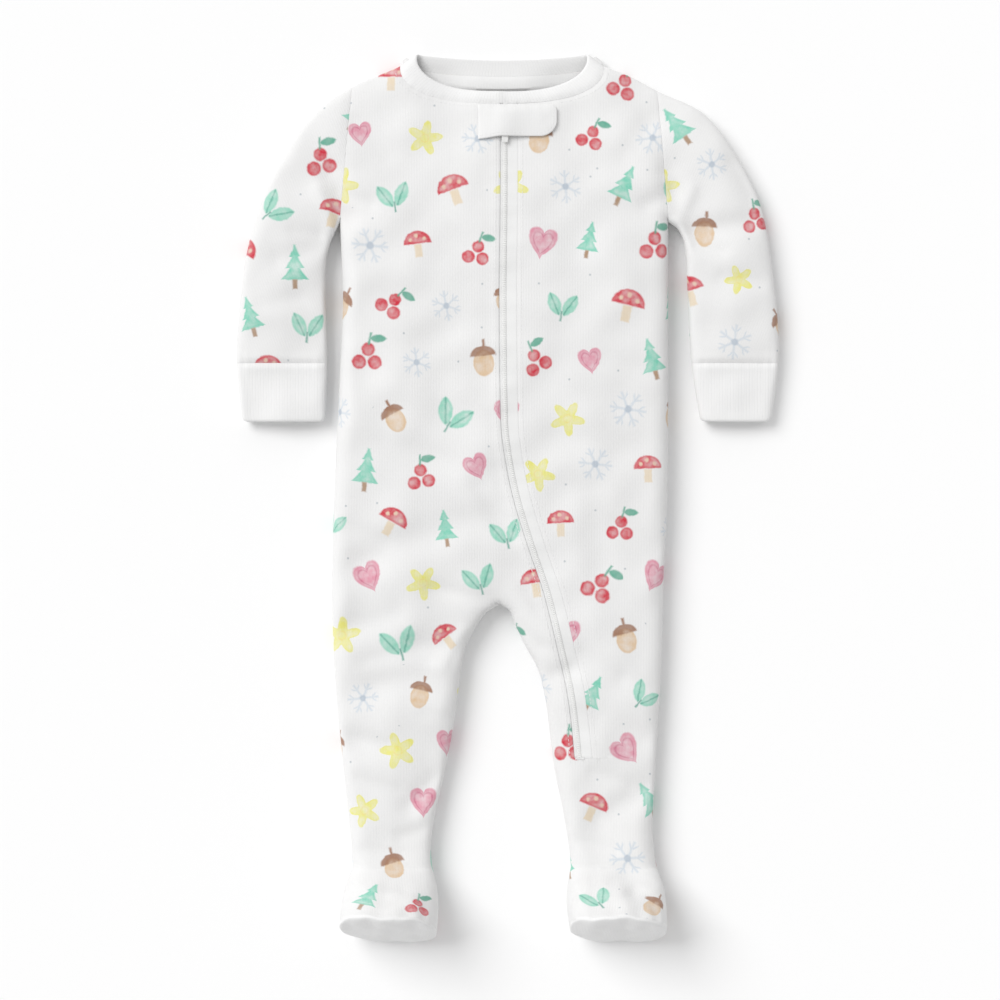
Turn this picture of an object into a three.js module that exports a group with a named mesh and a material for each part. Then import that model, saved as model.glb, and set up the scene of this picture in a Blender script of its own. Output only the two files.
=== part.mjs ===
// Footed baby sleepsuit laid out on its back, each cut piece a cloth wall of its own.
// Millimetres: +Z up from the surface, +Y to the neck, -Y to the feet.
// Right and left are the wearer's, so the right side lies at -X.

import * as THREE from 'three';

// Cloth and seams
const clothWall = 1.3;
const ribWall = 2.0;
const soleWall = 1.5;
const seamGap = 0.3;

// Lengths of the laid-out garment, along Y
const neckTopY = 311.5;
const neckSeamY = 302.7;
const shoulderY = { right: 288.0, left: 285.2 };
const underarmY = 193;
const cuffSeamY = 94;
const cuffEndY = 53;
const crotchY = -74.9;
const zipEndY = -181.6;
const ankleY = -258;

// Neck opening: a front scoop and a shallow back, both on one centre line
const neckCentreX = -4.2;
const neckHalfWidth = { edge: 60.2, seam: 71.5 };
const neckFrontDepth = { edge: 27.2, seam: 27.0 };
const neckBackDepth = { edge: 4.0, seam: 7.0 };
const neckSquareness = 2.4;

// Zip, measured across from its centre line
const zipCoilHalf = 1.4;
const zipTapeRightEdge = -3.5;
const zipTapeLeftEdge = 8.8;
const zipCoilRise = 0.6;

// Chin tab over the top of the zip
const tabLeftX = -20;
const tabRightX = 34;
const tabLowY = 251.8;
const tabHighY = 274.8;
const tabWall = 2.0;
const tabClearance = 1.3;

// Zip slider, closed up under the tab, with its pull lying down over the zip
const sliderY = 262;
const sliderWidth = 7;
const sliderLength = 9;
const sliderHeight = 1.9;
const pullY = 255;
const pullWidth = 4.5;
const pullLength = 15;
const pullHeight = 0.8;

// Feet: the sole leans back from the heel, which lies on the surface, to the raised toe
const footHalfWidth = 33.5;
const footToeHeight = 70;
const footToeY = -286;
const footHeelY = -311.5;
const footCentreX = { right: -83, left: 76.3 };
const footSquareness = 2.6;
const footPuff = 2.5;
const soleBulge = 3;
const soleLift = 0.6;

// Outline edges seen from above, a row for each height along Y
const rightOuterEdge = [
  { y: neckTopY, x: neckCentreX - neckHalfWidth.edge },
  { y: neckSeamY, x: neckCentreX - neckHalfWidth.seam },
  { y: 295.5, x: -92.5 },
  { y: 288, x: -109.2 },
  { y: 272.6, x: -131.6 },
  { y: 247.4, x: -151.9 },
  { y: 208.2, x: -172.2 },
  { y: 169, x: -183.4 },
  { y: 120, x: -189 },
  { y: 94, x: -190 },
  { y: 53, x: -186.3 },
];
const rightSleeveInnerEdge = [
  { y: underarmY, x: -117.6 },
  { y: 179.5, x: -123.9 },
  { y: 166.9, x: -127.2 },
  { y: 145, x: -127.8 },
  { y: 94, x: -126.8 },
  { y: 53, x: -128.2 },
];
const rightSideEdge = [
  { y: underarmY, x: -117.6 },
  { y: 166, x: -116.5 },
  { y: 138, x: -115.5 },
  { y: 82, x: -117.9 },
  { y: 26, x: -120.4 },
  { y: -30, x: -122.5 },
  { y: -86, x: -122.8 },
  { y: -142, x: -119.7 },
  { y: -198, x: -114.1 },
  { y: -235, x: -110.2 },
  { y: ankleY, x: -108.5 },
];
const rightInseamEdge = [
  { y: crotchY, x: -5.9 },
  { y: -80.1, x: -14.7 },
  { y: -90.6, x: -22.5 },
  { y: -104, x: -29.4 },
  { y: -122.8, x: -33.2 },
  { y: -156.4, x: -37.6 },
  { y: -190.8, x: -44.2 },
  { y: -224.3, x: -51.6 },
  { y: -244, x: -54 },
  { y: ankleY, x: -53 },
];
const leftInseamEdge = [
  { y: crotchY, x: -5.9 },
  { y: -78.5, x: 0.7 },
  { y: -88.5, x: 4.6 },
  { y: -104, x: 12.2 },
  { y: -119.3, x: 20.6 },
  { y: -141, x: 26.2 },
  { y: -187.2, x: 32.2 },
  { y: -220.8, x: 38.9 },
  { y: -241.1, x: 42.3 },
  { y: ankleY, x: 44.1 },
];
const leftSideEdge = [
  { y: underarmY, x: 112 },
  { y: 54, x: 112 },
  { y: -2, x: 111.3 },
  { y: -58, x: 108.8 },
  { y: -114, x: 107.4 },
  { y: -170, x: 104.3 },
  { y: -226, x: 101.1 },
  { y: -246.7, x: 102 },
  { y: ankleY, x: 103.9 },
];
const leftSleeveInnerEdge = [
  { y: underarmY, x: 112 },
  { y: 188, x: 118.8 },
  { y: 176.8, x: 123.6 },
  { y: 145.9, x: 125.6 },
  { y: 94, x: 128.6 },
  { y: 53, x: 135 },
];
const leftOuterEdge = [
  { y: neckTopY, x: neckCentreX + neckHalfWidth.edge },
  { y: neckSeamY, x: neckCentreX + neckHalfWidth.seam },
  { y: 296, x: 84.5 },
  { y: 285.2, x: 104.5 },
  { y: 270.5, x: 135.1 },
  { y: 241.8, x: 158.2 },
  { y: 205.4, x: 176.4 },
  { y: 161.3, x: 184.8 },
  { y: 120, x: 189.2 },
  { y: 94, x: 189.4 },
  { y: 53, x: 184.5 },
];

// Centre line of the zip, which bends from the chest into the left leg
const zipLine = [
  { y: 276, x: -2.1 },
  { y: 208, x: -2.1 },
  { y: 145, x: -2.8 },
  { y: 68, x: -2.1 },
  { y: 40, x: -0.7 },
  { y: 2, x: 6.3 },
  { y: -33, x: 16.8 },
  { y: -66, x: 28 },
  { y: -103, x: 37.1 },
  { y: -138, x: 44.8 },
  { y: zipEndY, x: 49.7 },
  { y: ankleY, x: 55 },
];

// Height of the upper layer over the surface, with the garment softly filled
const bodyHeights = [
  { y: 312, height: 12 },
  { y: 284, height: 13.5 },
  { y: 250, height: 18.5 },
  { y: 205, height: 23 },
  { y: 130, height: 26 },
  { y: 30, height: 26 },
  { y: -60, height: 25 },
  { y: -120, height: 24 },
  { y: -200, height: 23 },
  { y: ankleY, height: 25 },
];
const sleeveHeights = [
  { y: 300, height: 15 },
  { y: 240, height: 20 },
  { y: 180, height: 21 },
  { y: 94, height: 18 },
  { y: 53, height: 15 },
];

// The largest folds in the upper layer: soft troughs from one point to another, depth below
// the cloth around them, negative for a ridge
const frontFolds = [
  { fromX: -124, fromY: 226, toX: -112, toY: 196, width: 9, depth: 3.4 },
  { fromX: -160, fromY: 166, toX: -128, toY: 176, width: 8, depth: 2.4 },
  { fromX: 158, fromY: 232, toX: 172, toY: 212, width: 8, depth: 2.2 },
  { fromX: 130, fromY: 186, toX: 168, toY: 192, width: 8, depth: 2.6 },
  { fromX: 112, fromY: 226, toX: 120, toY: 200, width: 9, depth: 3.2 },
  { fromX: -40, fromY: 108, toX: -18, toY: 76, width: 14, depth: 1.8 },
  { fromX: -100, fromY: -44, toX: -30, toY: -16, width: 13, depth: 2.6 },
  { fromX: -116, fromY: -94, toX: -78, toY: -82, width: 9, depth: 2.4 },
  { fromX: -62, fromY: -104, toX: -34, toY: -110, width: 9, depth: 2.8 },
  { fromX: 60, fromY: 4, toX: 64, toY: -46, width: 12, depth: 2.4 },
  { fromX: -114, fromY: -168, toX: -86, toY: -174, width: 8, depth: 2.8 },
  { fromX: -92, fromY: -132, toX: -58, toY: -122, width: 11, depth: 2.4 },
  { fromX: -68, fromY: -214, toX: -50, toY: -198, width: 8, depth: 2.6 },
  { fromX: 64, fromY: -222, toX: 98, toY: -204, width: 9, depth: 2.4 },
  { fromX: 66, fromY: -156, toX: 92, toY: -170, width: 10, depth: 1.8 },
  { fromX: 26, fromY: -126, toX: 44, toY: -120, width: 7, depth: 1.8 },
];

// Rows and columns of the panels
const roundSteps = 4;
const yokeRows = 9;
const torsoRows = 17;
const legRows = 13;
const sleeveRows = 15;
const cuffRows = 3;
const bandSteps = 24;
const bandRows = 3;
const footRows = 5;
const soleRings = 3;
const legEvenColumns = 3;
const zipStripColumns = 3;
const leftChestColumns = 7;

// Small helpers

function mix(a, b, t) {
  return a + (b - a) * t;
}

function smoothStep(from, to, value) {
  const t = Math.min(1, Math.max(0, (value - from) / (to - from)));
  return t * t * (3 - 2 * t);
}

function evenSteps(count) {
  return Array.from({ length: count + 1 }, (_, step) => step / count);
}

// Smooth value of one column of a table, read at a height y; rows run from high y to low y
function readTable(rows, column, y) {
  const last = rows.length - 1;
  let row = 0;
  while (row < last - 1 && y < rows[row + 1].y) {
    row += 1;
  }
  const slope = (i) => {
    const before = rows[Math.max(0, i - 1)];
    const after = rows[Math.min(last, i + 1)];
    return (after[column] - before[column]) / (after.y - before.y);
  };
  const start = rows[row];
  const end = rows[row + 1];
  const span = end.y - start.y;
  const t = (y - start.y) / span;
  if (t < 0 || t > 1) {
    const nearest = t < 0 ? start : end;
    return nearest[column] + slope(t < 0 ? row : row + 1) * (y - nearest.y);
  }
  const startTangent = slope(row) * span;
  const endTangent = slope(row + 1) * span;
  return (2 * t ** 3 - 3 * t ** 2 + 1) * start[column]
    + (t ** 3 - 2 * t ** 2 + t) * startTangent
    + (-2 * t ** 3 + 3 * t ** 2) * end[column]
    + (t ** 3 - t ** 2) * endTangent;
}

function edgeX(edge, y) {
  return readTable(edge, 'x', y);
}

// Outline of the laid-out garment as chains of short lines, its inside always to their left

function chainAlong(edge, fromY, toY) {
  const steps = Math.ceil(Math.abs(toY - fromY) / 2);
  return evenSteps(steps).map((t) => {
    const y = mix(fromY, toY, t);
    return new THREE.Vector2(edgeX(edge, y), y);
  });
}

const openEndReach = 20;
const outlineChains = [
  chainAlong(rightOuterEdge, neckTopY, cuffEndY - openEndReach),
  [
    ...chainAlong(rightSleeveInnerEdge, cuffEndY - openEndReach, underarmY),
    ...chainAlong(rightSideEdge, underarmY, ankleY - openEndReach).slice(1),
  ],
  [
    ...chainAlong(rightInseamEdge, ankleY - openEndReach, crotchY),
    ...chainAlong(leftInseamEdge, crotchY, ankleY - openEndReach).slice(1),
  ],
  [
    ...chainAlong(leftSideEdge, ankleY - openEndReach, underarmY),
    ...chainAlong(leftSleeveInnerEdge, underarmY, cuffEndY - openEndReach).slice(1),
  ],
  chainAlong(leftOuterEdge, cuffEndY - openEndReach, neckTopY),
];
const outlineSegments = outlineChains.flatMap((chain) => chain.slice(1).map((end, i) => {
  const start = chain[i];
  const along = end.clone().sub(start);
  return { start, along, length: along.length() };
}));

// Distance from a plan point to the outline, and the direction that leads inward from it
function fromOutline(x, y) {
  const onLine = 0.05;
  const point = new THREE.Vector2(x, y);
  let distance = Infinity;
  let inward = new THREE.Vector2();
  for (const segment of outlineSegments) {
    const t = point.clone().sub(segment.start).dot(segment.along) / segment.length ** 2;
    const foot = segment.start.clone().addScaledVector(segment.along, Math.min(1, Math.max(0, t)));
    const away = point.clone().sub(foot);
    const reach = away.length();
    if (reach < onLine) {
      const normal = new THREE.Vector2(-segment.along.y, segment.along.x).normalize();
      inward = distance < onLine ? inward.add(normal) : normal;
      distance = Math.min(distance, reach);
    } else if (reach < distance) {
      inward = away;
      distance = reach;
    }
  }
  return { distance, inward: inward.normalize() };
}

function layerHeight(x, y) {
  const bodyHeight = readTable(bodyHeights, 'height', y);
  if (y < cuffEndY - 1) {
    return bodyHeight;
  }
  return mix(bodyHeight, readTable(sleeveHeights, 'height', y), smoothStep(106, 134, Math.abs(x)));
}

function foldDepth(x, y) {
  let depth = 0;
  for (const fold of frontFolds) {
    const alongX = fold.toX - fold.fromX;
    const alongY = fold.toY - fold.fromY;
    const length = Math.hypot(alongX, alongY);
    const along = ((x - fold.fromX) * alongX + (y - fold.fromY) * alongY) / length;
    const across = ((x - fold.fromX) * alongY - (y - fold.fromY) * alongX) / length;
    const beyond = Math.max(0, -along, along - length);
    depth += fold.depth * Math.exp(-(across ** 2 + beyond ** 2) / fold.width ** 2);
  }
  return depth;
}

// One point of the cloth, on its outer and on its inner side. The layer is 'upper' or 'lower';
// a point on the outline has turned fully sideways, halfway up between the layers.
function clothPoint(x, y, layer, { wall = clothWall, onOutline = false, seamShift = 0 } = {}) {
  const height = layerHeight(x, y);
  const middle = height / 2;
  const { distance, inward } = fromOutline(x, y);
  const lean = onOutline ? 1 : Math.max(0, 1 - distance / middle);
  const rise = Math.sqrt(1 - lean ** 2);
  const up = layer === 'upper' ? 1 : -1;
  const fold = layer === 'upper' ? foldDepth(x, y) * rise ** 2 : 0;
  const z = middle + up * (middle * rise + seamShift * lean ** 8) - fold;
  const outer = new THREE.Vector3(x, y, z);
  const inner = new THREE.Vector3(
    x + inward.x * lean * wall,
    y + inward.y * lean * wall,
    z - up * rise * wall,
  );
  return { outer, inner };
}

// A cloth piece: grids of cloth points, joined where they share points, closed along every edge

function meshFromGrids(name, grids, material) {
  const outerPoints = [];
  const innerPoints = [];
  const indexOf = new Map();
  const addPoint = ({ outer, inner }) => {
    const key = outer.toArray().map((value) => Math.round(value * 500)).join(' ');
    if (!indexOf.has(key)) {
      indexOf.set(key, outerPoints.length);
      outerPoints.push(outer);
      innerPoints.push(inner);
    }
    return indexOf.get(key);
  };
  const faces = [];
  const addFace = (a, b, c) => {
    if (a !== b && b !== c && c !== a) {
      faces.push([a, b, c]);
    }
  };
  for (const grid of grids) {
    const indices = grid.map((row) => row.map(addPoint));
    for (let row = 0; row < indices.length - 1; row += 1) {
      for (let column = 0; column < indices[row].length - 1; column += 1) {
        const a = indices[row][column];
        const b = indices[row + 1][column];
        const c = indices[row + 1][column + 1];
        const d = indices[row][column + 1];
        addFace(a, b, c);
        addFace(a, c, d);
      }
    }
  }
  const edges = new Set(faces.flatMap(([a, b, c]) => [`${a} ${b}`, `${b} ${c}`, `${c} ${a}`]));
  const innerStart = outerPoints.length;
  const closed = [...faces, ...faces.map(([a, b, c]) => [a + innerStart, c + innerStart, b + innerStart])];
  for (const edge of edges) {
    const [from, to] = edge.split(' ').map(Number);
    if (!edges.has(`${to} ${from}`)) {
      closed.push([to, from, from + innerStart], [to, from + innerStart, to + innerStart]);
    }
  }
  return closedMesh(name, [...outerPoints, ...innerPoints], closed, material);
}

// A named mesh from points and faces, turned so that its faces point out
function closedMesh(name, points, faces, material) {
  let volume = 0;
  for (const [a, b, c] of faces) {
    volume += points[a].dot(points[b].clone().cross(points[c]));
  }
  const outward = volume > 0 ? faces : faces.map(([a, b, c]) => [a, c, b]);
  const geometry = new THREE.BufferGeometry();
  geometry.setAttribute('position', new THREE.Float32BufferAttribute(points.flatMap((p) => p.toArray()), 3));
  geometry.setIndex(outward.flat());
  geometry.computeVertexNormals();
  const mesh = new THREE.Mesh(geometry, material);
  mesh.name = name;
  return mesh;
}

function clothMaterial(color, roughness) {
  return new THREE.MeshStandardMaterial({ color, roughness, metalness: 0 });
}

// Where the columns of a row stand: turned closely round an outline edge, evenly between

function roundOffsets(height) {
  return evenSteps(roundSteps).map((t) => (height / 2) * (1 - Math.cos((t * Math.PI) / 2)));
}

// Columns from an outline edge at 'edge' to an inner line at 'line'
function columnsFromEdge(edge, line, height, evenCount) {
  const side = Math.sign(line - edge);
  const reach = Math.abs(line - edge);
  const squeeze = Math.min(1, (0.75 * reach) / (height / 2));
  const round = roundOffsets(height).map((offset) => edge + side * offset * squeeze);
  const from = round[roundSteps];
  return [...round, ...evenSteps(evenCount).slice(1).map((t) => mix(from, line, t))];
}

// Columns across a tube, from one outline edge to the other
function columnsAcross(start, end, height, evenCount) {
  const squeeze = Math.min(1, (0.8 * (end - start)) / height);
  const offsets = roundOffsets(height).map((offset) => offset * squeeze);
  const from = start + offsets[roundSteps];
  const to = end - offsets[roundSteps];
  const firstRound = offsets.map((offset) => start + offset);
  const middle = evenSteps(evenCount).slice(1, -1).map((t) => mix(from, to, t));
  const lastRound = offsets.map((offset) => end - offset).reverse();
  return [...firstRound, ...middle, ...lastRound];
}

function rowOfCloth(xs, y, layer, outlineEnds) {
  return xs.map((x, i) => {
    const atStart = i === 0 && outlineEnds.start;
    const atEnd = i === xs.length - 1 && outlineEnds.end;
    return clothPoint(x, y, layer, { onOutline: atStart || atEnd, seamShift: seamGap / 2 });
  });
}

// Neck curves; 'across' runs from 0 at the free edge of the band to 1 at its seam

function neckPoint(turn, across, layer) {
  const s = -Math.cos(turn * Math.PI);
  const halfWidth = mix(neckHalfWidth.edge, neckHalfWidth.seam, across);
  const endY = mix(neckTopY, neckSeamY, across);
  const frontDepth = mix(neckFrontDepth.edge, neckFrontDepth.seam, across);
  const backDepth = mix(neckBackDepth.edge, neckBackDepth.seam, across);
  const scoop = Math.max(0, 1 - Math.abs(s) ** neckSquareness) ** (1 / neckSquareness);
  const drop = layer === 'upper' ? frontDepth * scoop : backDepth * (1 - s * s);
  return { x: neckCentreX + halfWidth * s, y: endY - drop };
}

const panelNeckAcross = 1.06;

function neckTurnAt(x) {
  const halfWidth = mix(neckHalfWidth.edge, neckHalfWidth.seam, panelNeckAcross);
  return Math.acos(-(x - neckCentreX) / halfWidth) / Math.PI;
}

function neckLine(fromTurn, toTurn, count, layer) {
  return evenSteps(count).map((t) => neckPoint(mix(fromTurn, toTurn, t), panelNeckAcross, layer));
}

// Shoulder line along the outline, from the armhole to the neck
function shoulderLine(edge, armholeY, count) {
  const { y: neckY } = neckPoint(0, panelNeckAcross, 'upper');
  return evenSteps(count).map((t) => {
    const y = mix(armholeY, neckY, t);
    return { x: edgeX(edge, y), y, onOutline: true };
  });
}

// Plan grid between four edges; rows run from the top edge down
function planPatch(top, bottom, left, right) {
  const lastColumn = top.length - 1;
  const lastRow = left.length - 1;
  const acrossOf = (c) => (bottom[c].x - bottom[0].x) / (bottom[lastColumn].x - bottom[0].x);
  const downOf = (r) => (left[r].y - left[0].y) / (left[lastRow].y - left[0].y);
  return left.map((_, r) => top.map((__, c) => {
    const u = acrossOf(c);
    const v = downOf(r);
    const blend = (axis) => {
      const betweenRows = mix(top[c][axis], bottom[c][axis], v);
      const betweenSides = mix(left[r][axis], right[r][axis], u);
      const topCorners = mix(top[0][axis], top[lastColumn][axis], u);
      const bottomCorners = mix(bottom[0][axis], bottom[lastColumn][axis], u);
      return betweenRows + betweenSides - mix(topCorners, bottomCorners, v);
    };
    const alongTop = r === 0 && top[c].onOutline === true;
    const alongBottom = r === lastRow && bottom[c].onOutline === true;
    return { x: blend('x'), y: blend('y'), onOutline: alongTop || alongBottom };
  }));
}

// Steps down the yoke, close together where the shoulder turns over
function yokeSteps() {
  const turned = [0, 0.008, 0.028, 0.062];
  const rest = evenSteps(yokeRows - turned.length + 1).slice(1).map((t) => mix(0.062, 1, t));
  return [...turned, ...rest];
}

function patchOfCloth(plan, layer) {
  return plan.map((row) => row.map(({ x, y, onOutline }) => (
    clothPoint(x, y, layer, { onOutline, seamShift: seamGap / 2 })
  )));
}

function straightLine(from, to, steps) {
  return steps.map((t) => ({ x: mix(from.x, to.x, t), y: mix(from.y, to.y, t) }));
}

// Heights of the rows

const torsoYs = evenSteps(torsoRows).map((t) => mix(underarmY, crotchY, t));
const belowZipY = zipEndY - 2 * seamGap;
const evenLegYs = evenSteps(legRows).map((t) => mix(crotchY, ankleY + seamGap / 2, t));
const legYs = [...evenLegYs.filter((y) => Math.abs(y - zipEndY) > 3), zipEndY, belowZipY]
  .sort((a, b) => b - a);
const zipTopY = neckPoint(0.5, panelNeckAcross, 'upper').y;
const yokeZipYs = yokeSteps().map((t) => mix(zipTopY, underarmY, t));
const zipYs = [...yokeZipYs, ...torsoYs.slice(1), ...legYs.slice(1).filter((y) => y >= zipEndY)];

// Fold line of the right front, from the chest to the crotch
function crotchGuideX(y) {
  return mix(edgeX(rightInseamEdge, crotchY), -34, smoothStep(crotchY, underarmY, y));
}

function zipRightX(y) {
  return edgeX(zipLine, y) + (y < zipEndY ? -seamGap / 2 : zipTapeRightEdge - seamGap);
}

function zipLeftX(y) {
  return edgeX(zipLine, y) + (y < zipEndY ? seamGap / 2 : zipTapeLeftEdge + seamGap);
}

// Columns from the right side to the crotch guide, as many as a leg has
const guideColumns = roundSteps + legEvenColumns;
const crotchColumn = roundSteps + guideColumns;

function rightChestColumns(y) {
  const side = edgeX(rightSideEdge, y);
  return columnsFromEdge(side, crotchGuideX(y), layerHeight(side, y), guideColumns);
}

// The point where both inseams meet
function crotchPoint(layer) {
  return clothPoint(edgeX(rightInseamEdge, crotchY), crotchY, layer, {
    onOutline: true,
    seamShift: seamGap / 2,
  });
}

function legRow(outerEdge, innerEdge, y, layer) {
  const start = Math.min(edgeX(outerEdge, y), edgeX(innerEdge, y));
  const end = Math.max(edgeX(outerEdge, y), edgeX(innerEdge, y));
  const xs = columnsAcross(start, end, layerHeight(0, y), legEvenColumns);
  return rowOfCloth(xs, y, layer, { start: true, end: true });
}

// Front of the right side: chest, right leg and the crotch strip that runs down the left leg
function frontRight(material) {
  const outlineStart = { start: true, end: false };
  const torsoColumns = (y) => {
    const guide = crotchGuideX(y);
    const toZip = evenSteps(zipStripColumns).slice(1).map((t) => mix(guide, zipRightX(y), t));
    return [...rightChestColumns(y), ...toZip];
  };
  const torso = torsoYs.map((y) => rowOfCloth(torsoColumns(y), y, 'upper', outlineStart));
  const crotchRow = torso[torsoRows];
  crotchRow[crotchColumn] = crotchPoint('upper');

  const bottom = torsoColumns(underarmY).map((x, i) => ({ x, y: underarmY, onOutline: i === 0 }));
  const shoulder = shoulderLine(rightOuterEdge, shoulderY.right + seamGap / 2, roundSteps);
  const neckColumns = bottom.length - 1 - roundSteps;
  const neck = neckLine(0, neckTurnAt(zipRightX(zipTopY)), neckColumns, 'upper').slice(1);
  const top = [...shoulder, ...neck];
  const armhole = straightLine(top[0], bottom[0], yokeSteps());
  const zipSide = yokeZipYs.map((y) => ({ x: zipRightX(y), y }));
  const yoke = patchOfCloth(planPatch(top, bottom, armhole, zipSide), 'upper');

  const leg = legYs.map((y) => legRow(rightSideEdge, rightInseamEdge, y, 'upper'));
  leg[0] = crotchRow.slice(0, crotchColumn + 1);
  const strip = legYs.map((y) => {
    const start = edgeX(leftInseamEdge, y);
    const xs = evenSteps(zipStripColumns).map((t) => mix(start, zipRightX(y), t ** 1.6));
    return rowOfCloth(xs, y, 'upper', outlineStart);
  });
  strip[0] = crotchRow.slice(crotchColumn);
  return meshFromGrids('front_right', [yoke, torso, leg, strip], material);
}

// Front of the left side, from the zip to the side seam and down the left leg
function frontLeft(material) {
  const columns = (y) => {
    const side = edgeX(leftSideEdge, y);
    return columnsFromEdge(side, zipLeftX(y), layerHeight(side, y), leftChestColumns).reverse();
  };
  const outlineEnd = { start: false, end: true };
  const torso = torsoYs.map((y) => rowOfCloth(columns(y), y, 'upper', outlineEnd));
  const leg = legYs.map((y) => rowOfCloth(columns(y), y, 'upper', outlineEnd));

  const lastColumn = roundSteps + leftChestColumns;
  const bottom = columns(underarmY).map((x, i) => ({ x, y: underarmY, onOutline: i === lastColumn }));
  const shoulder = shoulderLine(leftOuterEdge, shoulderY.left + seamGap / 2, roundSteps).reverse();
  const neck = neckLine(neckTurnAt(zipLeftX(zipTopY)), 1, leftChestColumns, 'upper').slice(0, -1);
  const top = [...neck, ...shoulder];
  const zipSide = yokeZipYs.map((y) => ({ x: zipLeftX(y), y }));
  const armhole = straightLine(top[lastColumn], bottom[lastColumn], yokeSteps());
  const yoke = patchOfCloth(planPatch(top, bottom, zipSide, armhole), 'upper');
  return meshFromGrids('front_left', [yoke, torso, leg], material);
}

// Back in one piece, from the neck to the heels
function back(material) {
  const outlineBoth = { start: true, end: true };
  const columns = (y) => {
    const side = edgeX(leftSideEdge, y);
    const left = columnsFromEdge(side, crotchGuideX(y), layerHeight(side, y), guideColumns);
    return [...rightChestColumns(y), ...left.reverse().slice(1)];
  };
  const torso = torsoYs.map((y) => rowOfCloth(columns(y), y, 'lower', outlineBoth));
  const crotchRow = torso[torsoRows];
  crotchRow[crotchColumn] = crotchPoint('lower');

  const lastColumn = 2 * crotchColumn;
  const bottom = columns(underarmY).map((x, i) => (
    { x, y: underarmY, onOutline: i === 0 || i === lastColumn }
  ));
  const rightShoulder = shoulderLine(rightOuterEdge, shoulderY.right + seamGap / 2, roundSteps);
  const leftShoulder = shoulderLine(leftOuterEdge, shoulderY.left + seamGap / 2, roundSteps);
  const neck = neckLine(0, 1, lastColumn - 2 * roundSteps, 'lower').slice(1, -1);
  const top = [...rightShoulder, ...neck, ...leftShoulder.reverse()];
  const rightArmhole = straightLine(top[0], bottom[0], yokeSteps());
  const leftArmhole = straightLine(top[lastColumn], bottom[lastColumn], yokeSteps());
  const yoke = patchOfCloth(planPatch(top, bottom, rightArmhole, leftArmhole), 'lower');

  const rightLeg = legYs.map((y) => legRow(rightSideEdge, rightInseamEdge, y, 'lower'));
  rightLeg[0] = crotchRow.slice(0, crotchColumn + 1);
  const leftLeg = legYs.map((y) => legRow(leftSideEdge, leftInseamEdge, y, 'lower'));
  leftLeg[0] = crotchRow.slice(crotchColumn);
  const heels = ['right', 'left'].map((side) => footGrid(side, 'lower'));
  return meshFromGrids('back', [yoke, torso, rightLeg, leftLeg, ...heels], material);
}

// Tubes: a ring of columns over the upper layer and back under the lower one
function ringOfCloth(start, end, height, evenCount, wall) {
  const across = columnsAcross(0, 1, height / Math.hypot(end.x - start.x, end.y - start.y), evenCount);
  const place = (t) => ({ x: mix(start.x, end.x, t), y: mix(start.y, end.y, t) });
  const last = across.length - 1;
  const upper = across.map((t, i) => {
    const { x, y } = place(t);
    return clothPoint(x, y, 'upper', { wall, onOutline: i === 0 || i === last });
  });
  const lower = across.slice(1, -1).reverse().map((t) => {
    const { x, y } = place(t);
    return clothPoint(x, y, 'lower', { wall });
  });
  return [...upper, ...lower, upper[0]];
}

// One sleeve, fanning from the armhole to the cuff seam
function sleeve(side, outerEdge, innerEdge, material) {
  const rings = evenSteps(sleeveRows).map((t) => {
    const outerY = mix(shoulderY[side] - seamGap / 2, cuffSeamY + seamGap / 2, t);
    const innerY = mix(underarmY - seamGap * 1.5, cuffSeamY + seamGap / 2, t);
    const outer = { x: edgeX(outerEdge, outerY), y: outerY };
    const inner = { x: edgeX(innerEdge, innerY), y: innerY };
    const [start, end] = side === 'right' ? [outer, inner] : [inner, outer];
    return ringOfCloth(start, end, layerHeight(outer.x, outerY), legEvenColumns, clothWall);
  });
  return meshFromGrids(`sleeve_${side}`, [rings], material);
}

function cuff(side, outerEdge, innerEdge, material) {
  const rings = evenSteps(cuffRows).map((t) => {
    const y = mix(cuffSeamY - seamGap / 2, cuffEndY, t);
    const xs = [edgeX(outerEdge, y), edgeX(innerEdge, y)].sort((a, b) => a - b);
    return ringOfCloth({ x: xs[0], y }, { x: xs[1], y }, layerHeight(xs[0], y), legEvenColumns, ribWall);
  });
  return meshFromGrids(`cuff_${side}`, [rings], material);
}

// Rib band round the neck: over the front scoop and back under along the back
function neckband(material) {
  const rings = evenSteps(bandRows).map((across) => {
    const turns = evenSteps(bandSteps);
    const pointAt = (turn, layer, onOutline) => {
      const { x, y } = neckPoint(turn, across, layer);
      return clothPoint(x, y, layer, { wall: ribWall, onOutline });
    };
    const upper = turns.map((turn) => pointAt(turn, 'upper', turn === 0 || turn === 1));
    const lower = turns.slice(1, -1).reverse().map((turn) => pointAt(turn, 'lower', false));
    return [...upper, ...lower, upper[0]];
  });
  return meshFromGrids('neckband', [rings], material);
}

// A strip that follows the zip between two distances from its centre line
function zipStrip(name, fromOffset, toOffset, rise, wall, material) {
  const rows = zipYs.map((y) => {
    const centre = edgeX(zipLine, y);
    return [fromOffset, toOffset].map((offset) => {
      const point = clothPoint(centre + offset, y, 'upper', { wall });
      point.outer.z += rise;
      return point;
    });
  });
  return meshFromGrids(name, [rows], material);
}

// A small piece lying on the upper layer, lifted clear of it, from a plan grid
function overlay(name, plan, lift, wall, material) {
  const grid = plan.map((row) => row.map(({ x, y }) => {
    const { outer: below } = clothPoint(x, y, 'upper');
    const inner = below.clone();
    inner.z += lift(x, y);
    const outer = inner.clone();
    outer.z += wall;
    return { outer, inner };
  }));
  return meshFromGrids(name, [grid], material);
}

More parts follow.
